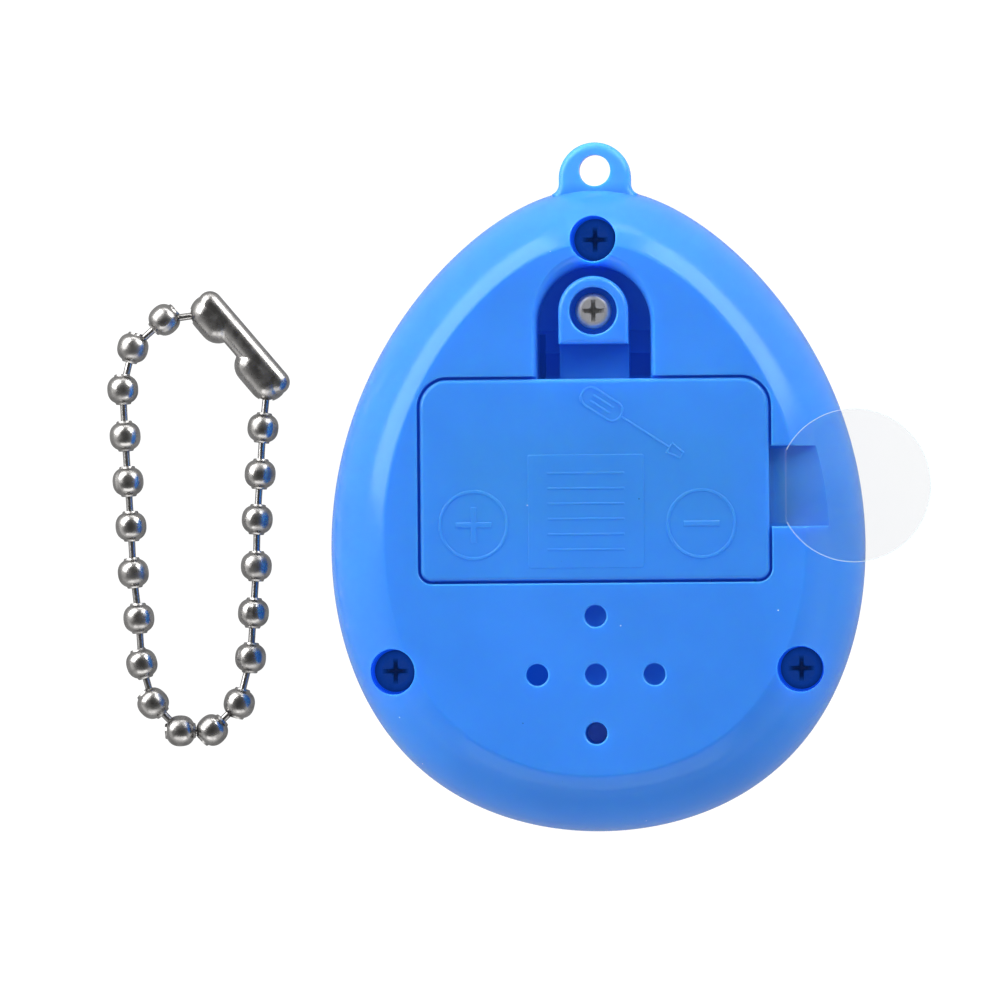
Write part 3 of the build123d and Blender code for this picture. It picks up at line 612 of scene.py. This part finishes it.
MATERIALS = {
    "case_blue": glowing(
        moulded("case_blue", 0.19, soak=0.8, grain=0.03, dust=0.2, gloss=0.33, painted_light_from_y=24)
    ),
    "bezel_white": moulded("bezel_white", 0.2, grain=0.04),
    "mask_print": moulded("mask_print", 0.55, grain=0.2),
    "frame_black": moulded("frame_black", 0.4, grain=0.1),
    "rubber_grey": moulded("rubber_grey", 0.7, grain=0.25),
    "board_green": moulded("board_green", 0.35, grain=0.3),
    "resin_black": moulded("resin_black", 0.15, grain=0.05),
    "parts_tan": moulded("parts_tan", 0.5, grain=0.1),
    "button_yellow": moulded("button_yellow", 0.22, soak=0.3, grain=0.04),
    "reset_white": moulded("reset_white", 0.4, soak=0.3, grain=0.08),
    "ceramic_white": moulded("ceramic_white", 0.45, grain=0.2),
    "wire_red": moulded("wire_red", 0.4, grain=0.05),
    "lcd_glass": moulded("lcd_glass", 0.12, grain=0.0),
    "steel_bright": metal("steel_bright", 0.3, tarnish=0.25, dark=0.15, pits=0.9, metallic=0.55),
    "steel_dark": metal("steel_dark", 0.3, tarnish=0.35, pits=0.4),
    "chain_steel": metal("chain_steel", 0.22, tarnish=0.4, pits=0.8),
    "disc_blue": in_blue_light(moulded("disc_blue", 0.3, grain=0.03), DISC_GLOW, 0, 1),
    "window_clear": clear("window_clear", 0.95, 0.03, 0.04),
    "tab_clear": clear(
        "tab_clear", 0.95, 0.011, 0.12, rim=(TAB_GRIP_X, NOTCH_Y, TAB_GRIP_RADIUS, TAB_RIM_HIGHLIGHT_FROM_X)
    ),
}


# ---------------------------------------------------------------------------
# Case


def key_loop():
    """The loop at the top, with a rounded rim and a small web on each side."""
    outline = [(-3.0, 22.6), (3.0, 22.6)]
    outline += arc((LOOP_RADIUS + LOOP_FILLET, LOOP_FILLET_Y), LOOP_FILLET, 250, 180, 8)
    outline += arc((0, LOOP_Y), LOOP_RADIUS, 0, 180, 40)
    outline += arc((-LOOP_RADIUS - LOOP_FILLET, LOOP_FILLET_Y), LOOP_FILLET, 0, -70, 8)
    levels = [(offset_outline(outline, -0.2), PARTING_Z)]
    levels += rounded_levels(outline, PARTING_Z + 0.2, PARTING_Z + LOOP_THICKNESS, 0.55)
    return tower("loop", levels)


def rear_cavity():
    """The hollow inside the rear shell, less the walls that stand in it."""
    cavity = egg_half(PARTING_Z, BACK_Z - WALL, WALL, skirt=1)
    bay_outside = rounded_outline(
        BAY_SIZE[0] + 2 * BAY_WALL, BAY_SIZE[1] + 2 * BAY_WALL, BAY_RADIUS + BAY_WALL, BAY_RADIUS + BAY_WALL,
        (0, DOOR_Y),
    )
    walls = [prism(bay_outside, BAY_FLOOR_Z - 1, BACK_Z)]
    walls.append(prism(arch_outline(RECESS_RADIUS + 1.2, 0, 0), RECESS_STEPS[1][1] - 1, BACK_Z))
    walls.append(prism(circle(DOOR_BOSS_RADIUS, (0, LUG_Y)), PARTING_Z - 0.02, BACK_Z))
    for x, y in CASE_SCREW_PLACES:
        walls.append(prism(circle(2.6, (x, y)), PARTING_Z - 0.01, BACK_Z + 0.5))
    walls.append(prism(circle(1.6, sound_holes()[4]), BAY_FLOOR_Z, BACK_Z + 0.3))
    return cut(cavity, *walls)


def rear_shell():
    shell = egg_half(PARTING_Z, BACK_Z, 0, seam=SEAM)
    shell = join(shell, key_loop())
    shell = cut(shell, rear_cavity())
    cut(
        shell,
        prism(circle(LOOP_HOLE_RADIUS, (0, LOOP_HOLE_Y)), 5, 14),
        rimmed_cutter(door_outline(DOOR_GROOVE), DOOR_LOW_Z, 0.12),
        prism(rounded_outline(*BAY_SIZE, BAY_RADIUS, BAY_RADIUS, (0, DOOR_Y)), BAY_FLOOR_Z, BACK_Z),
    )
    recess = tower("tool", recess_levels())
    recess = cut(recess, prism(circle(DOOR_BOSS_RADIUS, (0, LUG_Y)), RECESS_FLOOR_Z - 1, DOOR_BOSS_HIGH_Z))
    tools = [recess]
    for step_y, floor_z in RECESS_STEPS:
        length = step_y - DOOR_TOP_Y - 0.25
        tools.append(block(2 * RECESS_RADIUS, length, 0, step_y - length / 2, floor_z, RECESS_FLOOR_Z + 0.5))
    tools.append(block(2 * LUG_RADIUS + 0.7, 3.2, 0, DOOR_TOP_Y - 0.3, BRIDGE_LOW_Z - 0.2, BACK_Z + 1))
    tools.append(prism(circle(0.9, (0, LUG_Y)), PARTING_Z - 1, DOOR_BOSS_HIGH_Z + 1))
    tools.append(block(0.55, 3.4, VENT_X, RECESS_Y - 2.5, PARTING_Z, RECESS_FLOOR_Z + 1))
    notch = rounded_outline(8.0, NOTCH_WIDTH, 0.3, 0.3, (BAY_SIZE[0] / 2 + 3.9, NOTCH_Y))
    tools.append(rimmed_cutter(notch, NOTCH_FLOOR_Z, 0.2))
    for side in (-1, 1):
        tools.append(block(3.4, 3.4, side * 10.5, DOOR_BOTTOM_Y + 0.5, DOOR_LOW_Z - 1.7, DOOR_LOW_Z + 0.05))
    for x, y in CASE_SCREW_PLACES:
        tools.append(prism(circle(WELL_RADIUS, (x, y)), WELL_FLOOR_Z, BACK_Z + 1))
        tools.append(prism(circle(1.05, (x, y)), PARTING_Z - 1, WELL_FLOOR_Z + 0.5))
    for index, place in enumerate(sound_holes()):
        low_z = PARTING_Z - 1 if index in (1, 4) else BACK_Z - BLIND_DEPTH
        tools.append(rimmed_cutter(circle(HOLE_RADIUS, place, 48), low_z, 0.14))
    return cut(shell, *tools)


def recess_levels():
    """The arched recess: upright walls below, and a soft slope to the back face above."""
    slope_height = 1.7
    levels = [(arch_outline(RECESS_RADIUS, 0, 0), RECESS_FLOOR_Z)]
    for degrees in (0, 20, 38, 54, 68, 80):
        angle = math.radians(degrees)
        share = 1 - math.cos(angle)
        height = BACK_Z - slope_height + slope_height * math.sin(angle)
        levels.append((arch_outline(RECESS_RADIUS, 1.25 * share, 0.4 * share), height))
    levels.append((arch_outline(RECESS_RADIUS, 1.4, 0.5), BACK_Z + 0.1))
    levels.append((arch_outline(RECESS_RADIUS, 1.4, 0.5), BACK_Z + 1))
    return levels


def front_shell():
    shell = egg_half(PARTING_Z, FRONT_Z, 0, seam=SEAM)
    shell = cut(shell, egg_half(PARTING_Z, FRONT_Z + WALL, WALL, skirt=1))
    opening = rounded_outline(*SCREEN_OPENING, 4.8, 4.8, (0, SCREEN_Y))
    tools = [prism(opening, FRONT_Z - 1, FRONT_Z + 3)]
    for place in BUTTON_PLACES:
        tools.append(prism(circle(BUTTON_RADIUS + 0.12, place), FRONT_Z - 1, FRONT_Z + 3))
    return cut(shell, *tools)


# ---------------------------------------------------------------------------
# Battery door


def lug_outline():
    return [(-LUG_RADIUS, LUG_END_Y), (LUG_RADIUS, LUG_END_Y)] + arc((0, LUG_Y), LUG_RADIUS, 0, 180, 40)


def battery_door():
    door = tower("door", rounded_levels(door_outline(), DOOR_LOW_Z, BACK_Z, DOOR_ROUNDING))
    lug = tower("lug", rounded_levels(lug_outline(), LUG_LOW_Z, BACK_Z, 0.42))
    lug = cut(
        lug,
        rimmed_cutter(circle(1.8, (0, LUG_Y)), LUG_SEAT_Z, 0.16),
        prism(circle(1.15, (0, LUG_Y)), LUG_LOW_Z - 1, BACK_Z),
    )
    bridge_low_y = DOOR_TOP_Y - 1.1
    length = BRIDGE_END_Y - bridge_low_y
    bridge = block(2 * LUG_RADIUS - 0.02, length, 0, bridge_low_y + length / 2, BRIDGE_LOW_Z, BRIDGE_HIGH_Z)
    step = block(2 * LUG_RADIUS - 0.04, 0.98, 0, bridge_low_y + 0.51, BRIDGE_HIGH_Z - 0.2, DOOR_LOW_Z + 0.3)
    parts = [lug, bridge, step]
    for side in (-1, 1):
        x = side * 10.5
        parts.append(block(3.0, 1.0, x, DOOR_BOTTOM_Y + 0.52, DOOR_LOW_Z - 1.2, DOOR_LOW_Z + 0.2))
        parts.append(block(2.98, 0.95, x, DOOR_BOTTOM_Y - 0.3, DOOR_LOW_Z - 1.19, DOOR_LOW_Z - 0.4))
    door = join(door, *parts)
    door = cut(door, block(20.6, 6.4, 0, DOOR_Y, DOOR_LOW_Z - 1, DOOR_LOW_Z + 0.35))
    return join(door, *door_marks())


def stroke(points, width, low_z, high_z, closed=False):
    """A raised line along points."""
    path = [Vector(point) for point in points]
    sides = ([], [])
    for index, here in enumerate(path):
        before = path[index - 1] if index or closed else here
        after = path[(index + 1) % len(path)] if index + 1 < len(path) or closed else here
        way = (after - before).normalized()
        across = Vector((-way.y, way.x)) * width / 2
        sides[0].append(here + across)
        sides[1].append(here - across)
    bm = bmesh.new()
    corners = []
    for left, right in zip(*sides):
        low = [bm.verts.new((p.x, p.y, low_z)) for p in (left, right)]
        slim = (left - right) * 0.2
        high = [bm.verts.new((p.x, p.y, high_z)) for p in (left - slim, right + slim)]
        corners.append((low[0], low[1], high[1], high[0]))
    last = len(corners) if closed else len(corners) - 1
    for index in range(last):
        a, b = corners[index], corners[(index + 1) % len(corners)]
        for side in range(4):
            after = (side + 1) % 4
            bm.faces.new((a[side], a[after], b[after], b[side]))
    if not closed:
        bm.faces.new(corners[0])
        bm.faces.new(corners[-1])
    return solid("mark", bm)


def door_marks():
    """Plain moulded marks: a ribbed pad, battery polarity signs and a screwdriver."""
    low_z = BACK_Z - 0.06
    high_z = BACK_Z + 0.05
    pad = (-0.65, -0.1)
    plate = rounded_outline(8.8, 8.6, 0.2, 0.2, pad)
    marks = [tower("pad", rounded_levels(plate, low_z, BACK_Z + 0.035, 0.03))]
    for row in range(6):
        y = pad[1] - 2.9 + 1.16 * row
        marks.append(stroke([(pad[0] - 2.9, y), (pad[0] + 2.9, y)], 0.22, low_z, high_z + 0.02))
    for x, signs in ((-9.2, ((1, 0), (0, 1))), (8.1, ((1, 0),))):
        marks.append(stroke(circle(2.55, (x, -1.1), 48), 0.3, low_z, high_z, closed=True))
        for along_x, along_y in signs:
            ends = [(x - 1.35 * along_x, -1.1 - 1.35 * along_y), (x + 1.35 * along_x, -1.1 + 1.35 * along_y)]
            marks.append(stroke(ends, 0.55, low_z, high_z))
    turn = Matrix.Rotation(math.radians(-33), 2)
    handle = rounded_outline(3.4, 1.5, 0.7, 0.7)
    shapes = [(handle, True), ([(1.7, 0), (3.4, 0)], False), ([(3.4, 0), (6.1, 0)], False)]
    shapes += [([(-0.9, 0.25), (0.9, 0.25)], False), ([(-0.9, -0.25), (0.9, -0.25)], False)]
    shapes += [([(6.1, -0.4), (7.2, -0.25), (7.2, 0.25), (6.1, 0.4)], True)]
    for points, closed in shapes:
        placed = [tuple(turn @ Vector(point) + Vector((0.6, 8.0))) for point in points]
        marks.append(stroke(placed, 0.22, low_z, high_z, closed))
    return marks


def merge(pieces):
    """Several meshes as one object, in place."""
    bm = bmesh.new()
    for piece in pieces:
        bm.from_mesh(piece.data)
        bpy.data.objects.remove(piece)
    mesh = bpy.data.meshes.new("merged")
    bm.to_mesh(mesh)
    bm.free()
    return new_object("merged", mesh)


# ---------------------------------------------------------------------------
# Screws


def cross_outline(reach, width):
    """A driver's cross with slightly rounded inner corners."""
    points = []
    for quarter in range(4):
        turn = Matrix.Rotation(math.pi / 2 * quarter, 2)
        corner = 0.6 * width + width / 2
        arm = ((reach, -width / 2), (reach, width / 2), (corner, width / 2), (width * 0.66, width * 0.66))
        points += [tuple(turn @ Vector(point)) for point in arm]
        points.append(tuple(turn @ Vector((width / 2, corner))))
    return points


def screw(x, y, seat_z, head_radius, head_height, shank_radius, tip_z, reach):
    """A pan-head screw with a tapered cross recess and a thread."""
    head = []
    for inset, share in ((0.12, 0), (0, 0.14), (0, 0.42)):
        head.append((circle(head_radius - inset, (x, y)), seat_z + share * head_height))
    for degrees in (20, 40, 58, 74, 86):
        angle = math.radians(degrees)
        radius = head_radius * (0.6 + 0.4 * math.cos(angle))
        head.append((circle(radius, (x, y)), seat_z + head_height * (0.42 + 0.58 * math.sin(angle))))
    pan = tower("screw", head)
    top_z = seat_z + head_height
    levels = []
    for share, z in ((0.42, top_z - 0.68), (0.62, top_z - 0.6), (1.0, top_z), (1.05, top_z + 0.2)):
        outline = [(x + share * px, y + share * py) for px, py in cross_outline(reach, 0.42 * reach)]
        levels.append((outline, z))
    pan = cut(pan, tower("tool", levels))
    pitch = 0.45
    thread = [
        (circle(shank_radius * 0.3, (x, y), 32), tip_z),
        (circle(shank_radius * 0.75, (x, y), 32), tip_z + 0.4),
    ]
    z = tip_z + 0.4 + pitch / 2
    while z + pitch < seat_z - 0.4:
        thread.append((circle(shank_radius, (x, y), 32), z))
        thread.append((circle(shank_radius * 0.78, (x, y), 32), z + pitch / 2))
        z += pitch
    thread.append((circle(shank_radius * 0.8, (x, y), 32), seat_z + 0.1))
    return merge([pan, tower("thread", thread)])


# ---------------------------------------------------------------------------
# Pull tab


def smooth(value):
    value = min(1.0, max(0.0, value))
    return value * value * (3 - 2 * value)


def tab_height(x):
    """The film's underside: flat under the door, up through the notch, nearly flat over the side."""
    start, end = TAB_RISE
    rise = smooth((x - start) / (end - start))
    return TAB_LOW_Z + (TAB_HIGH_Z - TAB_LOW_Z) * rise + 0.1 * smooth((x - end) / 11)


def pull_tab():
    """The clear film: a neck under the door and a round grip."""
    stations = [TAB_INNER_X + 0.5 * step for step in range(19)]
    stations += [TAB_RISE[0] + 0.1 * step for step in range(1, 16)]
    meet_x = TAB_GRIP_X - math.sqrt(TAB_GRIP_RADIUS**2 - (TAB_NECK_WIDTH / 2) ** 2)
    stations = [x for x in stations if x < meet_x]
    start = math.acos((meet_x - TAB_GRIP_X) / TAB_GRIP_RADIUS)
    stations += [TAB_GRIP_X + TAB_GRIP_RADIUS * math.cos(start * (1 - step / 60)) for step in range(60)]
    across = 24
    bm = bmesh.new()
    sheets = []
    for lift in (0, TAB_THICKNESS):
        rows = []
        for x in stations:
            half = TAB_NECK_WIDTH / 2
            if x >= meet_x:
                half = math.sqrt(max(0.01, TAB_GRIP_RADIUS**2 - (x - TAB_GRIP_X) ** 2))
            spots = [NOTCH_Y + half * (2 * step / across - 1) for step in range(across + 1)]
            rows.append([bm.verts.new((x, y, tab_height(x) + lift)) for y in spots])
        sheets.append(rows)
    low, high = sheets
    for rows in sheets:
        for near, far in zip(rows, rows[1:]):
            for step in range(across):
                bm.faces.new((near[step], near[step + 1], far[step + 1], far[step]))
    for under, over in [(low[0], high[0]), (low[-1], high[-1])]:
        for step in range(across):
            bm.faces.new((under[step], under[step + 1], over[step + 1], over[step]))
    for column in (0, -1):
        under = [row[column] for row in low]
        over = [row[column] for row in high]
        for index in range(len(low) - 1):
            bm.faces.new((under[index], under[index + 1], over[index + 1], over[index]))
    return solid("tab", bm)


# ---------------------------------------------------------------------------
# Ball chain

HINGES = sorted((j for j in frame["joints"] if j["name"].startswith("chain_hinge")), key=lambda j: j["name"])
LAST_LINK = f"chain_link_{len(HINGES) + 1:02d}"
BEADS = [Vector(hinge["pos_m"]) / MM for hinge in HINGES]
BEADS.append((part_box(LAST_LINK)[0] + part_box(LAST_LINK)[1]) / 2 / MM)


def lathe(profile, centre, direction, roll=0.0, seam=0.0, steps=48):
    """A closed solid of revolution along direction; profile is (distance along it, radius)."""
    side = direction.cross(Vector((0, 0, 1))).normalized()
    up = side.cross(direction)
    loops = []
    for along, radius in profile:
        loop = []
        for step in range(steps):
            angle = roll + 2 * math.pi * step / steps
            reach = max(0.01, radius - (seam if step == 0 and radius > 0.6 else 0))
            loop.append(centre + direction * along + (side * math.cos(angle) + up * math.sin(angle)) * reach)
        loops.append(loop)
    return skin("lathe", loops)


def bead_profile():
    """A barrel-shaped bead with a rolled lip round the hole at each end."""
    power = 2.35
    outside = []
    for step in range(25):
        angle = math.radians(-62 + 124 * step / 24)
        across = abs(math.cos(angle)) ** (2 / power)
        along = math.copysign(abs(math.sin(angle)) ** (2 / power), angle)
        outside.append((1.13 * along, BEAD_RADIUS * across))
    start, end = outside[0], outside[-1]
    before = [(-0.72, PIN_HOLE_RADIUS), (-1.1, PIN_HOLE_RADIUS), (-1.18, 0.44), (-1.16, 0.56)]
    after = [(1.16, 0.58), (1.18, 0.5), (1.1, SWING_HOLE_RADIUS), (0.72, SWING_HOLE_RADIUS)]
    if start[1] < before[-1][1] or end[1] < after[0][1]:
        outside = [spot for spot in outside if spot[1] > 0.6]
    return before + outside + after


def bead_direction(index):
    """The way a bead points: along its own pin, or on from the last pin."""
    if index + 1 < len(BEADS):
        return (BEADS[index + 1] - BEADS[index]).normalized()
    return (BEADS[index] - BEADS[index - 1]).normalized()


def bead(index, roll):
    return lathe(bead_profile(), BEADS[index], -bead_direction(index), roll, seam=0.045)


def pin(index):
    """The pin between two beads, with a flat head inside each and a small dent where it was rolled."""
    start, end = BEADS[index], BEADS[index + 1]
    length = (end - start).length
    profile = [(0.56, 0.3), (0.56, 0.33), (0.7, 0.33), (0.74, PIN_RADIUS)]
    for share in (0.3, 0.4, 0.5, 0.6, 0.7):
        profile.append((length * share, PIN_RADIUS - 0.02 * math.sin(math.pi * share)))
    profile += [(length - 0.74, PIN_RADIUS), (length - 0.7, 0.42)]
    profile += [(length - 0.56, 0.42), (length - 0.56, 0.3)]
    return lathe(profile, start, (end - start).normalized(), steps=24)


def capsule(start, end, radius):
    """A rod with round ends."""
    direction = (end - start).normalized()
    length = (end - start).length
    profile = []
    for step in range(9):
        angle = math.pi / 2 * step / 8
        profile.append((-radius * math.cos(angle), radius * math.sin(angle)))
    profile += [(length - along, reach) for along, reach in reversed(profile)]
    return lathe(profile, start, direction)


def clasp_body(shrink):
    """The clasp's outer skin, or its inner one: a straight spine and two lobes that flow into it."""
    first, last = BEADS[0], BEADS[-1]
    along = (last - first).normalized()
    outward = Vector((-along.y, along.x, 0))
    shift = outward * (CLASP_LOBE_RADIUS - CLASP_SPINE_RADIUS) + Vector((0, 0, CLASP_SPINE_LIFT))
    overrun = along * (CLASP_LOBE_RADIUS - CLASP_SPINE_RADIUS - 0.08)
    body = capsule(first + shift - overrun, last + shift + overrun, CLASP_SPINE_RADIUS - shrink)
    lobe_radius = CLASP_LOBE_RADIUS - 0.06 - shrink
    lobes = [
        capsule(first, first + along * CLASP_LOBE_STRETCH[0], lobe_radius),
        capsule(last - along * CLASP_LOBE_STRETCH[1], last, lobe_radius),
    ]
    inward = outward * (CLASP_SPINE_RADIUS - 0.35)
    neck = capsule(first + shift - inward, last + shift - inward, CLASP_SPINE_RADIUS - 0.4 - shrink)
    body = join(body, *lobes, neck)
    blend = body.modifiers.new("voxels", "REMESH")
    blend.mode = "VOXEL"
    blend.voxel_size = 0.06
    soften = body.modifiers.new("soften", "SMOOTH")
    soften.factor = 0.5
    soften.iterations = 18
    bake(body)
    return body


def clasp():
    """A pressed clasp, open underneath, with a slot for each pin."""
    body = cut(clasp_body(0.0), clasp_body(CLASP_WALL), block(120, 120, 0, 0, -5, 0.06))
    slots = []
    for centre, neighbour in ((BEADS[0], BEADS[1]), (BEADS[-1], BEADS[-2])):
        direction = (neighbour - centre).normalized()
        across = Vector((-direction.y, direction.x, 0)) * CLASP_SLOT_WIDTH / 2
        far = direction * 3
        outline = [centre + across, centre - across, centre + far - across, centre + far + across]
        slots.append(prism([(p.x, p.y) for p in outline], -1, BEAD_RADIUS + CLASP_SLOT_WIDTH / 2))
    return cut(body, *slots)


# ---------------------------------------------------------------------------
# Put the pieces together

finish_piece(rear_shell(), "rear_shell_skin", "case", MATERIALS["case_blue"], ["rear_shell"])
finish_piece(front_shell(), "front_shell_skin", "case", MATERIALS["case_blue"], ["front_shell"])
finish_piece(battery_door(), "battery_door_skin", "battery_door", MATERIALS["case_blue"],
             ["battery_door"])
film = finish_piece(pull_tab(), "pull_tab_film", "battery_pull_tab", MATERIALS["tab_clear"],
                    ["battery_pull_tab"])
film.visible_shadow = False

door_screw = screw(0, LUG_Y, LUG_SEAT_Z, 1.38, 0.9, 0.8, DOOR_SCREW_TIP_Z, 0.86)
finish_piece(door_screw, "door_screw_detail", "battery_door_screw",
             MATERIALS["steel_bright"], ["battery_door_screw"])
wells = [screw(x, y, WELL_FLOOR_Z, 1.6, 1.2, 0.9, CASE_SCREW_TIP_Z, 1.0) for x, y in CASE_SCREW_PLACES]
sunk_steel = metal("steel_dark", 0.35, tarnish=0.4, pits=0.5, metallic=0.6)
in_blue_light(sunk_steel, SCREW_GLOW, SCREW_CROSS_Z, SCREW_FACE_Z)
finish_piece(merge(wells), "case_screws_detail", "case", sunk_steel, ["case_screws"])

random.seed(7)
for index in range(len(BEADS)):
    body = f"link_{min(index + 1, len(HINGES)):02d}"
    node = f"chain_link_{index + 1:02d}"
    piece = finish_piece(bead(index, random.uniform(0, 2 * math.pi)), f"bead_{index + 1:02d}", body,
                         MATERIALS["chain_steel"], [node], crease=50)
    if index < len(HINGES):
        finish_piece(pin(index), f"pin_{index + 1:02d}", body, MATERIALS["chain_steel"],
                     crease=50)
finish_piece(clasp(), "clasp_skin", "chain_clasp", MATERIALS["chain_steel"], ["chain_clasp"],
             crease=50)

for part in frame["record"]["subparts"]:
    node = frame["nodes"][part["node"]]
    node.data.materials.clear()
    node.data.materials.append(MATERIALS[part["material_slot"]])


# ---------------------------------------------------------------------------
# Floor, light and camera


def seen_white(tree, seen, lit):
    """One strength where the camera looks straight at a thing, another for the light it gives."""
    path = add(tree, "ShaderNodeLightPath")
    strength = add(tree, "ShaderNodeMapRange", {"Value": path.outputs["Is Camera Ray"], 3: lit, 4: seen})
    return strength.outputs[0]


def floor():
    bm = bmesh.new()
    bmesh.ops.create_grid(bm, x_segments=1, y_segments=1, size=2.0)
    mesh = bpy.data.meshes.new("floor")
    bm.to_mesh(mesh)
    bm.free()
    piece = new_object("floor", mesh)
    material, tree, shader = new_material("floor_white")
    shader.inputs["Base Color"].default_value = (0.1, 0.1, 0.1, 1)
    shader.inputs["Roughness"].default_value = 0.7
    shader.inputs["Specular IOR Level"].default_value = 0.1
    shader.inputs["Emission Color"].default_value = (1, 1, 1, 1)
    tree.links.new(seen_white(tree, 1.0, 0.32), shader.inputs["Emission Strength"])
    mesh.materials.append(material)


def softbox(name, azimuth, elevation, distance, size, watts):
    """A rectangular light aimed at the toy; azimuth runs anticlockwise from +X."""
    turn = math.radians(azimuth)
    tilt = math.radians(elevation)
    way = Vector((math.cos(turn) * math.cos(tilt), math.sin(turn) * math.cos(tilt), math.sin(tilt)))
    light = bpy.data.lights.new(name, "AREA")
    light.shape = "RECTANGLE"
    light.size, light.size_y = size
    light.energy = watts
    lamp = bpy.data.objects.new(name, light)
    lamp.location = way * distance
    lamp.rotation_euler = way.to_track_quat("Z", "Y").to_euler()
    bpy.context.scene.collection.objects.link(lamp)


def surroundings():
    """White near the horizon, dim overhead, as inside a light tent that is open at the top."""
    world = bpy.data.worlds.new("tent")
    bpy.context.scene.world = world
    world.use_nodes = True
    tree = world.node_tree
    place = add(tree, "ShaderNodeTexCoord").outputs["Generated"]
    parts = add(tree, "ShaderNodeSeparateXYZ", {"Vector": place})
    shade = ramp(tree, parts.outputs["Z"], ((0.0, 0.9), (0.35, 0.65), (0.62, 0.2), (1.0, 0.05)))
    path = add(tree, "ShaderNodeLightPath")
    seen = mixed(tree, path.outputs["Is Camera Ray"], shade, (0.95, 0.95, 0.95))
    tree.links.new(seen, tree.nodes["Background"].inputs["Color"])
    tree.nodes["Background"].inputs["Strength"].default_value = 1.15


def camera():
    """Looking straight down, leaning a little to the right, at the middle of the toy and its chain."""
    distance = 1.0
    view_width = 0.0765
    target = Vector((-0.0075, 0.0008, 0.0078))
    lean = math.radians(2.3)
    view = bpy.data.cameras.new("camera")
    view.sensor_width = 36
    view.lens = 36 * distance / view_width
    view.clip_start = 0.01
    eye = bpy.data.objects.new("camera", view)
    back = Vector((math.sin(lean), 0, math.cos(lean)))
    right = Vector((0.008, 1, 0)).cross(back).normalized()
    up = back.cross(right)
    turn = Matrix((right, up, back)).transposed().to_4x4()
    eye.matrix_world = Matrix.Translation(target + back * distance) @ turn
    bpy.context.scene.collection.objects.link(eye)
    bpy.context.scene.camera = eye


floor()
surroundings()
softbox("upper_left", 142, 25, 0.32, (0.36, 0.20), 1.4)
softbox("upper_right", 46, 25, 0.32, (0.24, 0.18), 0.9)
softbox("top", 86, 8, 0.32, (0.16, 0.05), 0.12)
softbox("lower", 268, 30, 0.32, (0.40, 0.15), 0.32)
camera()
bpy.context.scene.view_settings.view_transform = "Standard"
